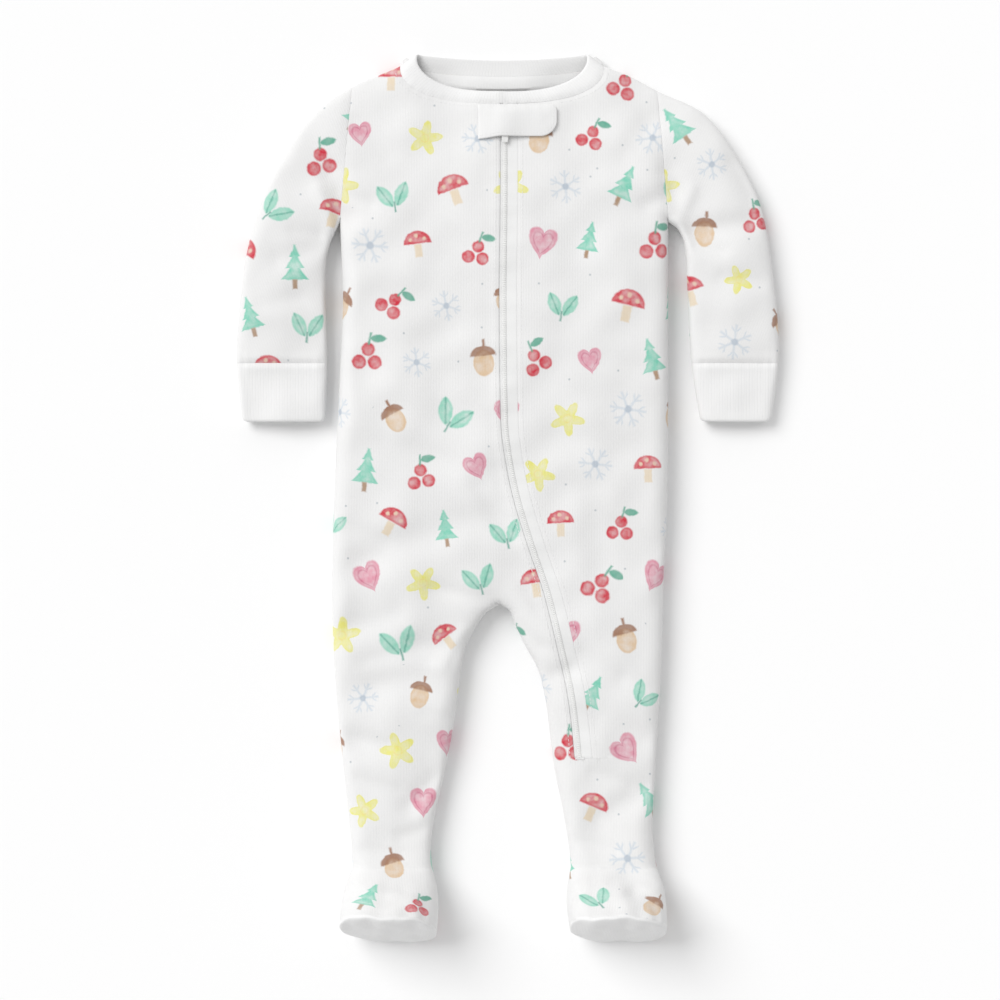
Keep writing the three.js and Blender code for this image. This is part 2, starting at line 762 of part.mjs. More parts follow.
// How far the slider lifts what lies over it
function sliderBump(x, y) {
  const across = 1 - smoothStep(sliderWidth / 2, sliderWidth / 2 + 9, Math.abs(x - edgeX(zipLine, y)));
  const along = 1 - smoothStep(sliderLength / 2 + 1, sliderLength / 2 + 8, Math.abs(y - sliderY));
  const underPull = 1 - smoothStep(0, 1, Math.abs(x - edgeX(zipLine, y)) - sliderWidth);
  return (sliderHeight + pullHeight + 2 * seamGap) * across * Math.max(along, y < sliderY ? underPull : 0);
}

function snapTab(material) {
  const columns = 14;
  const rows = 6;
  const halfHeight = (tabHighY - tabLowY) / 2;
  const roundFrom = tabRightX - halfHeight * 0.8;
  const plan = evenSteps(rows).map((v) => evenSteps(columns).map((u) => {
    const x = mix(tabLeftX, tabRightX, u);
    const past = Math.max(0, (x - roundFrom) / (tabRightX - roundFrom));
    const reach = halfHeight * Math.max(0.45, Math.sqrt(1 - past ** 2.4));
    return { x, y: mix(tabHighY, tabLowY, 0.5) + mix(reach, -reach, v) };
  }));
  return overlay('snap_tab', plan, (x, y) => tabClearance + sliderBump(x, y), tabWall, material);
}

function boxPlan(centreY, width, length) {
  return evenSteps(3).map((v) => evenSteps(2).map((u) => {
    const y = centreY + mix(length / 2, -length / 2, v);
    return { x: edgeX(zipLine, y) + mix(-width / 2, width / 2, u), y };
  }));
}

// The foot: rings from the ankle to the sole, which stands up on its heel

const soleUp = new THREE.Vector3(0, footToeY - footHeelY, footToeHeight).normalize();
const soleOut = new THREE.Vector3(0, -soleUp.z, soleUp.y);

function solePoint(side, turn, layer, inset) {
  const up = layer === 'upper' ? 1 : -1;
  const halfLength = Math.hypot(footToeY - footHeelY, footToeHeight) / 2;
  const cos = -Math.cos(turn * Math.PI);
  const sin = Math.sin(turn * Math.PI);
  const across = Math.sign(cos) * Math.abs(cos) ** (2 / footSquareness) * (footHalfWidth - inset);
  const along = up * Math.abs(sin) ** (2 / footSquareness) * (halfLength - inset);
  const centreZ = footToeHeight / 2 + soleLift;
  const centre = new THREE.Vector3(footCentreX[side], (footToeY + footHeelY) / 2, centreZ);
  return centre.addScaledVector(soleUp, along).add(new THREE.Vector3(across, 0, 0));
}

function footGrid(side, layer) {
  const [outerEdge, innerEdge] = side === 'right'
    ? [rightSideEdge, rightInseamEdge]
    : [leftSideEdge, leftInseamEdge];
  const up = layer === 'upper' ? 1 : -1;
  const ankle = legRow(outerEdge, innerEdge, ankleY - (up * seamGap) / 2, layer);
  const lastTurn = ankle.length - 1;
  const toSole = 0.95;
  return evenSteps(footRows).map((step) => ankle.map((start, i) => {
    const t = step * toSole;
    const turn = i / lastTurn;
    const shift = ((up * seamGap) / 2) * Math.abs(Math.cos(turn * Math.PI)) ** 8;
    const outer = start.outer.clone().lerp(solePoint(side, turn, layer, 0), t);
    const inner = start.inner.clone().lerp(solePoint(side, turn, layer, clothWall), t);
    const outward = outer.clone().sub(inner).normalize();
    const puff = outward.multiplyScalar(footPuff * Math.sin(t * Math.PI));
    if (layer === 'lower') {
      puff.z = 0;
    }
    const lift = new THREE.Vector3(0, 0, shift * t);
    return { outer: outer.add(puff).add(lift), inner: inner.add(puff).add(lift) };
  }));
}

function footUpper(side, material) {
  return meshFromGrids(`foot_upper_${side}`, [footGrid(side, 'upper')], material);
}

// The sole: rings from its rim to its middle, bulging outward a little
function sole(side, material) {
  const rimTurns = evenSteps(2 * roundSteps + legEvenColumns);
  const rings = evenSteps(soleRings).map((t) => {
    const inset = t * (footHalfWidth - 2);
    const bulge = soleBulge * (1 - (1 - t) ** 2);
    const pointAt = (turn, layer) => {
      const outer = solePoint(side, turn, layer, inset).addScaledVector(soleOut, bulge);
      const inner = outer.clone().addScaledVector(soleOut, -soleWall);
      return { outer, inner };
    };
    const upper = rimTurns.map((turn) => pointAt(turn, 'upper'));
    const lower = rimTurns.slice(1, -1).reverse().map((turn) => pointAt(turn, 'lower'));
    return [...upper, ...lower, upper[0]];
  });
  const centreOuter = solePoint(side, 0.5, 'upper', Math.hypot(footToeY - footHeelY, footToeHeight) / 2)
    .addScaledVector(soleOut, soleBulge);
  const centre = { outer: centreOuter, inner: centreOuter.clone().addScaledVector(soleOut, -soleWall) };
  rings.push(rings[0].map(() => centre));
  return meshFromGrids(`sole_${side}`, [rings], material);
}

const printedCloth = clothMaterial(0xf3f1ee, 0.92);
const whiteRib = clothMaterial(0xf6f5f3, 0.9);
const soleCloth = clothMaterial(0xeeedeb, 0.93);
const zipTape = clothMaterial(0xf1f0ee, 0.85);
const zipCoil = clothMaterial(0xf4f3f0, 0.45);
const zipMetal = new THREE.MeshStandardMaterial({ color: 0xe9e8e5, roughness: 0.35, metalness: 0.1 });

const garment = new THREE.Group();
garment.add(
  frontRight(printedCloth),
  frontLeft(printedCloth),
  back(printedCloth),
  sleeve('right', rightOuterEdge, rightSleeveInnerEdge, printedCloth),
  sleeve('left', leftOuterEdge, leftSleeveInnerEdge, printedCloth),
  cuff('right', rightOuterEdge, rightSleeveInnerEdge, whiteRib),
  cuff('left', leftOuterEdge, leftSleeveInnerEdge, whiteRib),
  neckband(whiteRib),
  snapTab(whiteRib),
  zipStrip('zip_tape_right', zipTapeRightEdge, -zipCoilHalf - seamGap, 0, clothWall, zipTape),
  zipStrip('zip_coil', -zipCoilHalf, zipCoilHalf, zipCoilRise, clothWall, zipCoil),
  zipStrip('zip_tape_left', zipCoilHalf + seamGap, zipTapeLeftEdge, 0, clothWall, zipTape),
  overlay('zip_slider', boxPlan(sliderY, sliderWidth, sliderLength), () => zipCoilRise + seamGap,
    sliderHeight, zipMetal),
  overlay('zip_pull', boxPlan(pullY, pullWidth, pullLength), () => zipCoilRise + sliderHeight + 2 * seamGap,
    pullHeight, zipMetal),
);
for (const side of ['right', 'left']) {
  garment.add(footUpper(side, printedCloth), sole(side, soleCloth));
}

// The origin lies under the middle of the garment, on the surface
const bounds = new THREE.Box3().setFromObject(garment);
garment.position.set(-(bounds.min.x + bounds.max.x) / 2, -(bounds.min.y + bounds.max.y) / 2, -bounds.min.z);

export default garment;
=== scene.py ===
import math
import bpy
import numpy as np
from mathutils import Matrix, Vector


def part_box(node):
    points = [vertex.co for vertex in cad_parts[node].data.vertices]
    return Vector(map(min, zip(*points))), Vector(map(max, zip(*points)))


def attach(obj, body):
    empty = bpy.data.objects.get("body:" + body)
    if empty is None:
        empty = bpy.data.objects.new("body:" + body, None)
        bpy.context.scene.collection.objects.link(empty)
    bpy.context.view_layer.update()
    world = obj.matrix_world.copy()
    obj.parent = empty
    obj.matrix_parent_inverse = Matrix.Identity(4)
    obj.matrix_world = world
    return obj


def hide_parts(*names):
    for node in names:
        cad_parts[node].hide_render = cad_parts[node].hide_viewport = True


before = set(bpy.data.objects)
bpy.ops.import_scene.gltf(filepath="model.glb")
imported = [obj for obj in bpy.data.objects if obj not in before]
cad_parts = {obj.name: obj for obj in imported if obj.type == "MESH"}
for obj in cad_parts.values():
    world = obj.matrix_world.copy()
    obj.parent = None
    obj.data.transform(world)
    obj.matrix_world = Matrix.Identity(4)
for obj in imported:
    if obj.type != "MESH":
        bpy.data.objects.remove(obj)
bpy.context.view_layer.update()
mm = 0.001
print("frame loaded")

# the garment's own sizes, in mm, as cut and laid out on its back
body = {
    "clothWall": 1.3, "ribWall": 2.0, "soleWall": 1.5, "seamGap": 0.04,
    "neckTopY": 311.5, "neckSeamY": 302.7, "shoulderRightY": 288.0, "shoulderLeftY": 285.2,
    "underarmY": 193.0, "cuffSeamY": 94.0, "cuffEndY": 53.0,
    "crotchX": -5.9, "crotchY": -74.9, "guideTopX": -34.0, "zipEndY": -181.6, "ankleY": -258.0,
}
neck = {
    "centreX": -4.2, "halfWidthEdge": 60.2, "halfWidthSeam": 71.5,
    "frontDepthEdge": 27.2, "frontDepthSeam": 27.0, "backDepthEdge": 4.0, "backDepthSeam": 7.0,
    "squareness": 2.4, "panelStart": 1.003,
}

# outline edges from above, one (y, x) row for each height
rightOuterEdge = [
    (311.5, -64.4), (302.7, -75.7), (295.5, -92.5), (288, -109.2), (272.6, -131.6), (247.4, -151.9),
    (208.2, -172.2), (169, -183.4), (120, -189), (94, -190), (53, -186.3),
]
rightSleeveInnerEdge = [
    (193, -117.6), (179.5, -123.9), (166.9, -127.2), (145, -127.8), (94, -126.8), (53, -128.2),
]
rightSideEdge = [
    (193, -117.6), (166, -116.5), (138, -115.5), (82, -117.9), (26, -120.4), (-30, -122.5),
    (-86, -122.8), (-142, -119.7), (-198, -114.1), (-235, -110.2), (-258, -108.5),
]
rightInseamEdge = [
    (-74.9, -5.9), (-80.1, -14.7), (-90.6, -22.5), (-104, -29.4), (-122.8, -33.2), (-156.4, -37.6),
    (-190.8, -44.2), (-224.3, -51.6), (-244, -54), (-258, -53),
]
leftInseamEdge = [
    (-74.9, -5.9), (-78.5, 0.7), (-88.5, 4.6), (-104, 12.2), (-119.3, 20.6), (-141, 26.2),
    (-187.2, 32.2), (-220.8, 38.9), (-241.1, 42.3), (-258, 44.1),
]
leftSideEdge = [
    (193, 112), (54, 112), (-2, 111.3), (-58, 108.8), (-114, 107.4), (-170, 104.3),
    (-226, 101.1), (-246.7, 102), (-258, 103.9),
]
leftSleeveInnerEdge = [
    (193, 112), (188, 118.8), (176.8, 123.6), (145.9, 125.6), (94, 128.6), (53, 135),
]
leftOuterEdge = [
    (311.5, 56.0), (302.7, 67.3), (296, 84.5), (285.2, 104.5), (270.5, 135.1), (241.8, 158.2),
    (205.4, 176.4), (161.3, 184.8), (120, 189.2), (94, 189.4), (53, 184.5),
]
zipLine = [
    (276, -2.1), (208, -2.1), (145, -2.8), (68, -2.1), (40, -0.7), (2, 6.3), (-33, 16.8),
    (-66, 28), (-103, 37.1), (-138, 44.8), (-181.6, 49.7), (-258, 55),
]

# height of the upper layer over the surface, one (y, height) row for each height along the garment
bodyHeights = [
    (312, 12), (284, 13.5), (250, 18.5), (205, 23), (130, 26), (30, 26), (-60, 25),
    (-120, 24), (-200, 23), (-258, 25),
]
sleeveHeights = [(300, 15), (240, 20), (180, 21), (94, 18), (53, 15)]

# folds in the upper layer: from x, y to x, y, then width and depth; a minus depth is a ridge
mainFolds = [
    (-124, 226, -112, 196, 9, 3.4), (-160, 166, -128, 176, 8, 2.4),
    (158, 232, 172, 212, 8, 2.2), (130, 186, 168, 192, 8, 2.6), (112, 226, 120, 200, 9, 3.2),
    (-40, 108, -18, 76, 14, 1.8), (-100, -44, -30, -16, 13, 2.6), (-116, -94, -78, -82, 9, 2.4),
    (-62, -104, -34, -110, 9, 2.8), (60, 4, 64, -46, 12, 2.4), (-114, -168, -86, -174, 8, 2.8),
    (-92, -132, -58, -122, 11, 2.4), (-68, -214, -50, -198, 8, 2.6), (64, -222, 98, -204, 9, 2.4),
    (66, -156, 92, -170, 10, 1.8), (26, -126, 44, -120, 7, 1.8),
]
fineFolds = [
    (-118, 214, -96, 205, 5, 0.9), (-132, 214, -121, 190, 5, -1.1), (-150, 186, -132, 184, 4, 0.9),
    (116, 214, 96, 204, 5, 0.9), (128, 214, 118, 190, 5, -1.0), (150, 172, 132, 176, 4, 0.8),
    (-106, 262, -84, 240, 8, 0.8), (98, 262, 80, 238, 8, 0.7), (-172, 134, -146, 140, 6, 0.7),
    (176, 150, 150, 154, 6, 0.7), (-60, 190, -28, 176, 9, 0.6), (24, 196, 60, 186, 10, 0.6),
    (-104, 92, -72, 84, 9, 0.7), (70, 96, 100, 88, 8, 0.7), (-84, 40, -40, 22, 10, 0.9),
    (34, 44, 70, 28, 11, 0.7), (-20, 6, 2, -28, 7, 0.9), (76, -20, 104, -36, 8, 0.8),
    (-112, -22, -86, -30, 7, 0.8), (-52, -64, -16, -70, 6, 1.1), (-30, -94, -48, -118, 5, -0.9),
    (6, -88, 22, -104, 5, 1.0), (14, -66, 30, -84, 6, 0.9), (-100, -114, -74, -108, 6, 0.8),
    (-56, -150, -40, -156, 5, 0.9), (-104, -196, -78, -204, 6, 0.9), (-74, -236, -56, -230, 5, 0.8),
    (52, -110, 76, -124, 7, 0.8), (82, -128, 104, -136, 6, 0.8), (60, -192, 84, -200, 6, 0.8),
    (48, -240, 74, -246, 5, 0.8), (-100, -246, -76, -250, 5, 0.8),
]


def readTable(rows, y):
    # smooth curve through a table's rows, straight past both ends
    ys = np.array([row[0] for row in rows], float)
    values = np.array([row[1] for row in rows], float)
    tangents = np.empty(len(ys))
    tangents[1:-1] = (values[2:] - values[:-2]) / (ys[2:] - ys[:-2])
    tangents[0] = (values[1] - values[0]) / (ys[1] - ys[0])
    tangents[-1] = (values[-1] - values[-2]) / (ys[-1] - ys[-2])
    y = np.asarray(y, float)
    row = np.clip(np.searchsorted(-ys, -y, side="right") - 1, 0, len(ys) - 2)
    span = ys[row + 1] - ys[row]
    t = (y - ys[row]) / span
    inside = np.clip(t, 0, 1)
    curve = (
        (2 * inside**3 - 3 * inside**2 + 1) * values[row]
        + (inside**3 - 2 * inside**2 + inside) * tangents[row] * span
        + (-2 * inside**3 + 3 * inside**2) * values[row + 1]
        + (inside**3 - inside**2) * tangents[row + 1] * span
    )
    past = np.where(t < 0, tangents[row], tangents[row + 1]) * (t - inside) * span
    return curve + past


def mix(a, b, t):
    return a + (b - a) * t


def smoothStep(low, high, value):
    t = np.clip((value - low) / (high - low), 0, 1)
    return t * t * (3 - 2 * t)


# outline chains, the inside of the garment always to their left
def chainAlong(edge, fromY, toY):
    ys = np.linspace(fromY, toY, int(abs(toY - fromY) / 2) + 2)
    return np.column_stack([readTable(edge, ys), ys])


openReach = 20.0
cuffPast = body["cuffEndY"] - openReach
anklePast = body["ankleY"] - openReach


def joinChains(chains):
    # all the segments of some chains, with the length walked to each one
    starts = np.vstack([chain[:-1] for chain in chains])
    steps = np.vstack([np.diff(chain, axis=0) for chain in chains])
    lengths = np.hypot(steps[:, 0], steps[:, 1])
    walked = np.concatenate([
        np.cumsum(np.hypot(*np.diff(chain, axis=0).T)) - np.hypot(*np.diff(chain, axis=0).T)
        for chain in chains])
    real = lengths > 1e-9
    return starts[real], steps[real], lengths[real], walked[real]


outlinePath = joinChains([
    chainAlong(rightOuterEdge, body["neckTopY"], cuffPast),
    np.vstack([chainAlong(rightSleeveInnerEdge, cuffPast, body["underarmY"]),
               chainAlong(rightSideEdge, body["underarmY"], anklePast)[1:]]),
    np.vstack([chainAlong(rightInseamEdge, anklePast, body["crotchY"]),
               chainAlong(leftInseamEdge, body["crotchY"], anklePast)[1:]]),
    np.vstack([chainAlong(leftSideEdge, anklePast, body["underarmY"]),
               chainAlong(leftSleeveInnerEdge, body["underarmY"], cuffPast)[1:]]),
    chainAlong(leftOuterEdge, cuffPast, body["neckTopY"]),
])


def nearPath(x, y, path):
    # distance from each point to the path, the way inward, and how far along the path it is
    starts, steps, lengths, walked = path
    normals = np.column_stack([-steps[:, 1], steps[:, 0]]) / lengths[:, None]
    points = np.column_stack([x, y])
    distance = np.empty(len(points))
    inward = np.empty((len(points), 2))
    along = np.empty(len(points))
    for part in np.array_split(np.arange(len(points)), len(points) // 1500 + 1):
        fromStart = points[part][:, None] - starts
        t = np.clip((fromStart * steps).sum(axis=2) / lengths**2, 0, 1)
        away = fromStart - t[..., None] * steps
        reach = np.hypot(away[..., 0], away[..., 1])
        nearest = reach.argmin(axis=1)
        row = np.arange(len(part))
        closest = reach[row, nearest][:, None]
        distance[part] = closest[:, 0]
        # on the line itself the way inward is square to it, and between the two sides of a corner
        square = (reach < closest + 0.05) @ normals
        inward[part] = np.where(closest < 0.25, square, away[row, nearest])
        along[part] = walked[nearest] + t[row, nearest] * lengths[nearest]
    size = np.maximum(np.hypot(inward[:, 0], inward[:, 1]), 1e-9)
    return distance, inward / size[:, None], along


def layerHeight(x, y):
    bodyHeight = readTable(bodyHeights, y)
    sleeveShare = smoothStep(106, 134, np.abs(x)) * (np.asarray(y) > body["cuffEndY"] - 1)
    return mix(bodyHeight, readTable(sleeveHeights, y), sleeveShare)


def foldDepth(x, y, folds):
    depth = np.zeros_like(x)
    for fromX, fromY, toX, toY, width, deep in folds:
        runX = toX - fromX
        runY = toY - fromY
        length = math.hypot(runX, runY)
        forward = ((x - fromX) * runX + (y - fromY) * runY) / length
        across = ((x - fromX) * runY - (y - fromY) * runX) / length
        beyond = np.maximum(0, np.maximum(-forward, forward - length))
        depth += deep * np.exp(-(across**2 + beyond**2) / width**2)
    return depth


softness = {"waves": 26, "shortest": 26.0, "longest": 120.0, "height": 0.42, "seed": 7,
            "swellPower": 0.7, "bend": 0.9, "bendLength": 2.7, "edgeDrop": 3.2, "edgeReach": 42.0,
            "mainFolds": 1.2, "fineFolds": 1.8}


def softWaves(x, y):
    # the slow unevenness of cloth laid down by hand
    rng = np.random.default_rng(softness["seed"])
    total = np.zeros_like(x)
    for _ in range(softness["waves"]):
        wavelength = softness["shortest"] * (softness["longest"] / softness["shortest"]) ** rng.random()
        angle = rng.random() * math.pi
        phase = rng.random() * 2 * math.pi
        swell = (wavelength / softness["longest"]) ** softness["swellPower"]
        run = (x * math.cos(angle) + y * math.sin(angle)) * 2 * math.pi / wavelength
        beside = x * math.sin(angle) - y * math.cos(angle)
        bend = softness["bend"] * np.sin(beside * 2 * math.pi / (wavelength * softness["bendLength"]))
        total += softness["height"] * swell * np.sin(run + bend + phase)
    return total


# neck curves; across runs from 0 at the free edge of the band to 1 at its seam
def neckPoint(turn, across, upper):
    s = -np.cos(np.asarray(turn, float) * math.pi)
    halfWidth = mix(neck["halfWidthEdge"], neck["halfWidthSeam"], across)
    endY = mix(body["neckTopY"], body["neckSeamY"], across)
    frontDepth = mix(neck["frontDepthEdge"], neck["frontDepthSeam"], across)
    backDepth = mix(neck["backDepthEdge"], neck["backDepthSeam"], across)
    n = neck["squareness"]
    scoop = np.maximum(0, 1 - np.abs(s) ** n) ** (1 / n)
    drop = frontDepth * scoop if upper else backDepth * (1 - s * s)
    return neck["centreX"] + halfWidth * s, endY - drop


# seams that draw the cloth down into a soft valley with small puckers beside it
def armholeChain(outerEdge, sideEdge, topY):
    return np.array([[float(readTable(outerEdge, topY)), topY],
                     [float(readTable(sideEdge, body["underarmY"])), body["underarmY"]]])


def neckSeamChain(upper):
    turns = np.linspace(0, 1, 61)
    xs, ys = neckPoint(turns, 1.03, upper)
    return np.column_stack([xs, ys])


def acrossChain(outerEdge, innerEdge, y):
    return np.array([[float(readTable(outerEdge, y)), y], [float(readTable(innerEdge, y)), y]])


upperSeams = {
    "armholes": {"depth": 0.3, "reach": 2.6, "pucker": 0.14, "step": 9.0, "path": joinChains([
        armholeChain(rightOuterEdge, rightSideEdge, body["shoulderRightY"]),
        armholeChain(leftOuterEdge, leftSideEdge, body["shoulderLeftY"])])},
    "neck": {"depth": 0.4, "reach": 1.8, "pucker": 0.12, "step": 8.0,
             "path": joinChains([neckSeamChain(True)])},
    "cuffs": {"depth": 0.9, "reach": 1.6, "pucker": 0.3, "step": 7.0, "path": joinChains([
        acrossChain(rightOuterEdge, rightSleeveInnerEdge, body["cuffSeamY"]),
        acrossChain(leftOuterEdge, leftSleeveInnerEdge, body["cuffSeamY"])])},
}
# beside each valley a low pad, and puckers that wander a little; lengths in reaches of the seam
seamShape = {"padShare": 0.35, "padAt": 2.6, "padWidth": 1.4, "puckerReach": 3.2,
             "wander": 1.7, "wanderLength": 23.0}
zipSeam = {"padHeight": 0.6, "padWidth": 3.4, "padX": -5.4, "ripple": 0.2, "rippleStep": 13.0,
           "rippleReach": 11.0, "wander": 2.1, "wanderLength": 37.0}


def seamRelief(x, y):
    relief = np.zeros_like(x)
    for seam in upperSeams.values():
        distance, _, along = nearPath(x, y, seam["path"])
        reach = seam["reach"]
        valley = -seam["depth"] * np.exp(-(distance / reach) ** 2)
        fromPad = (distance - seamShape["padAt"] * reach) / (seamShape["padWidth"] * reach)
        pad = seamShape["padShare"] * seam["depth"] * np.exp(-fromPad**2)
        wander = seamShape["wander"] * np.sin(along / seamShape["wanderLength"])
        beat = np.sin(along * 2 * math.pi / seam["step"] + wander)
        pucker = seam["pucker"] * beat * np.exp(-distance / (seamShape["puckerReach"] * reach))
        relief += valley + pad + pucker
    return relief


def zipRelief(x, y):
    # the folded edge of the right front stands up beside the zip; both sides ripple a little
    centre = readTable(zipLine, y)
    beside = np.abs(x - centre)
    onZip = smoothStep(body["zipEndY"] - 8, body["zipEndY"] + 4, y)
    fold = zipSeam["padHeight"] * np.exp(-((x - centre - zipSeam["padX"]) / zipSeam["padWidth"]) ** 2)
    wander = zipSeam["wander"] * np.sin(y / zipSeam["wanderLength"])
    beat = np.sin(y * 2 * math.pi / zipSeam["rippleStep"] + wander)
    return onZip * (fold + zipSeam["ripple"] * beat * np.exp(-((beside / zipSeam["rippleReach"]) ** 2)))


neckRoll = {"height": 4.2, "clear": 0.0, "rise": 1.9, "level": 7.0, "fall": 23.0,
            "full": 12.0, "halfWidth": 44.0}


def neckRollHeight(x, y):
    # behind the front band the back of the neck curls up, and drops away just short of the band's edge
    s = np.clip(np.abs(x - neck["centreX"]) / neck["halfWidthEdge"], 0, 1)
    scoop = (1 - s ** neck["squareness"]) ** (1 / neck["squareness"])
    above = y - (body["neckTopY"] - neck["frontDepthEdge"] * scoop)
    rise = smoothStep(neckRoll["clear"], neckRoll["rise"], above)
    fall = 1 - smoothStep(neckRoll["level"], neckRoll["fall"], above)
    beside = 1 - smoothStep(neckRoll["full"], neckRoll["halfWidth"], np.abs(x - neck["centreX"]))
    return neckRoll["height"] * rise * fall * beside


def clothPoints(x, y, upper, wall, onOutline=None, seamShift=0.0):
    # outer and inner side of the cloth over plan points, in mm
    x = np.asarray(x, float).ravel()
    y = np.asarray(y, float).ravel()
    height = layerHeight(x, y)
    middle = height / 2
    distance, inward, _ = nearPath(x, y, outlinePath)
    lean = np.maximum(0, 1 - distance / middle)
    if onOutline is not None:
        lean = np.where(np.asarray(onOutline).ravel(), 1.0, lean)
    rise = np.sqrt(1 - lean**2)
    up = 1.0 if upper else -1.0
    z = middle + up * (middle * rise + seamShift * lean**8)
    if upper:
        relief = softWaves(x, y) + seamRelief(x, y) + zipRelief(x, y)
        relief -= softness["edgeDrop"] * np.exp(-distance / softness["edgeReach"])
        folds = softness["mainFolds"] * foldDepth(x, y, mainFolds)
        folds += softness["fineFolds"] * foldDepth(x, y, fineFolds)
        z += (relief - folds) * rise**2
    else:
        z += neckRollHeight(x, y)
    outer = np.column_stack([x, y, z])
    inner = np.column_stack([x + inward[:, 0] * lean * wall, y + inward[:, 1] * lean * wall,
                             z - up * rise * wall])
    return outer, inner


# where the garment's own zero lies in the frame
neckLow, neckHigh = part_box("neckband")
shift = Vector((neckLow[0] - (neck["centreX"] - neck["halfWidthSeam"]) * mm,
                neckHigh[1] - body["neckTopY"] * mm, 0))
print("garment placed, moved by", tuple(round(value, 6) for value in shift))


# how many columns and rows each part of the cloth has
grid = {
    "roundSteps": 12, "legEven": 16, "zipStrip": 10, "leftChest": 28, "yokeRows": 30, "yokeTurnSteps": 9,
    "torsoRows": 104, "legRows": 70, "sleeveRows": 66, "cuffRows": 22, "bandRows": 12,
    "bandSteps": 110, "footRows": 26, "soleRings": 16,
}
yokeTurned = 0.085  # the share of the yoke that turns over the shoulder
guideColumns = grid["roundSteps"] + grid["legEven"]
crotchColumn = grid["roundSteps"] + guideColumns


def roundOffsets(height):
    return height / 2 * (1 - np.cos(np.linspace(0, math.pi / 2, grid["roundSteps"] + 1)))


def columnsFromEdge(edge, line, height, evenCount):
    side = math.copysign(1, line - edge)
    squeeze = min(1.0, 0.75 * abs(line - edge) / (height / 2))
    turned = edge + side * roundOffsets(height) * squeeze
    return np.concatenate([turned, np.linspace(turned[-1], line, evenCount + 1)[1:]])


def columnsAcross(start, end, height, evenCount):
    squeeze = min(1.0, 0.8 * (end - start) / height)
    offsets = roundOffsets(height) * squeeze
    middle = np.linspace(start + offsets[-1], end - offsets[-1], evenCount + 1)[1:-1]
    return np.concatenate([start + offsets, middle, (end - offsets)[::-1]])


def yokeSteps():
    turned = yokeTurned * (1 - np.cos(np.linspace(0, math.pi / 2, grid["yokeTurnSteps"])))
    return np.concatenate([turned, np.linspace(yokeTurned, 1, grid["yokeRows"] + 1)[1:]])


def planPatch(top, bottom, left, right):
    # plan grid between four edges, each an array of (x, y)
    u = ((bottom[:, 0] - bottom[0, 0]) / (bottom[-1, 0] - bottom[0, 0]))[None, :, None]
    v = ((left[:, 1] - left[0, 1]) / (left[-1, 1] - left[0, 1]))[:, None, None]
    betweenRows = mix(top[None], bottom[None], v)
    betweenSides = mix(left[:, None], right[:, None], u)
    corners = mix(mix(top[0], top[-1], u), mix(bottom[0], bottom[-1], u), v)
    return betweenRows + betweenSides - corners


def straightLine(start, end, steps):
    return mix(np.array(start)[None], np.array(end)[None], steps[:, None])


def shoulderLine(edge, armholeY):
    neckY = float(neckPoint(0, neck["panelStart"], True)[1])
    ys = np.linspace(armholeY, neckY, grid["roundSteps"] + 1)
    return np.column_stack([readTable(edge, ys), ys])


def neckTurnAt(x):
    halfWidth = mix(neck["halfWidthEdge"], neck["halfWidthSeam"], neck["panelStart"])
    return math.acos(-(x - neck["centreX"]) / halfWidth) / math.pi


def neckLine(fromTurn, toTurn, count, upper):
    xs, ys = neckPoint(np.linspace(fromTurn, toTurn, count + 1), neck["panelStart"], upper)
    return np.column_stack([xs, ys])


gap = body["seamGap"]
tape = {"coilHalf": 1.4, "rightEdge": -3.5, "leftEdge": 8.8, "coilRise": 0.25, "rightSink": 0.5,
        "leftSink": 0.15, "bevel": 0.18, "belowEnd": 0.12}
belowZipY = body["zipEndY"] - tape["belowEnd"]
evenLegYs = np.linspace(body["crotchY"], body["ankleY"], grid["legRows"] + 1)
torsoYs = np.linspace(body["underarmY"], body["crotchY"], grid["torsoRows"] + 1)
legYs = np.array(sorted([y for y in evenLegYs if abs(y - body["zipEndY"]) > 1.0]
                        + [body["zipEndY"], belowZipY], reverse=True))
zipTopY = float(neckPoint(0.5, neck["panelStart"], True)[1])
yokeZipYs = mix(zipTopY, body["underarmY"], yokeSteps())
zipYs = np.concatenate([yokeZipYs, torsoYs[1:], [y for y in legYs[1:] if y >= body["zipEndY"]]])


def crotchGuideX(y):
    # the column that leads up from the crotch
    return mix(body["crotchX"], body["guideTopX"], smoothStep(body["crotchY"], body["underarmY"], y))


def zipRightX(y):
    return float(readTable(zipLine, y)) + (0 if y < body["zipEndY"] else tape["rightEdge"] - gap)


def zipLeftX(y):
    return float(readTable(zipLine, y)) + (0 if y < body["zipEndY"] else tape["leftEdge"] + gap)


def planOfRows(columnsAt, ys):
    return np.array([[(x, y) for x in columnsAt(y)] for y in ys])


def edgeMask(plan, start, end):
    mask = np.zeros(plan.shape[:2], bool)
    mask[:, 0] = start
    mask[:, -1] = end
    return mask


def clothGrid(plan, upper, mask, wall=body["clothWall"], seamShift=gap / 2):
    # outer and inner points over a plan grid, in the same rows and columns
    rows, columns = plan.shape[:2]
    outer, inner = clothPoints(plan[..., 0], plan[..., 1], upper, wall, mask, seamShift)
    return outer.reshape(rows, columns, 3), inner.reshape(rows, columns, 3)


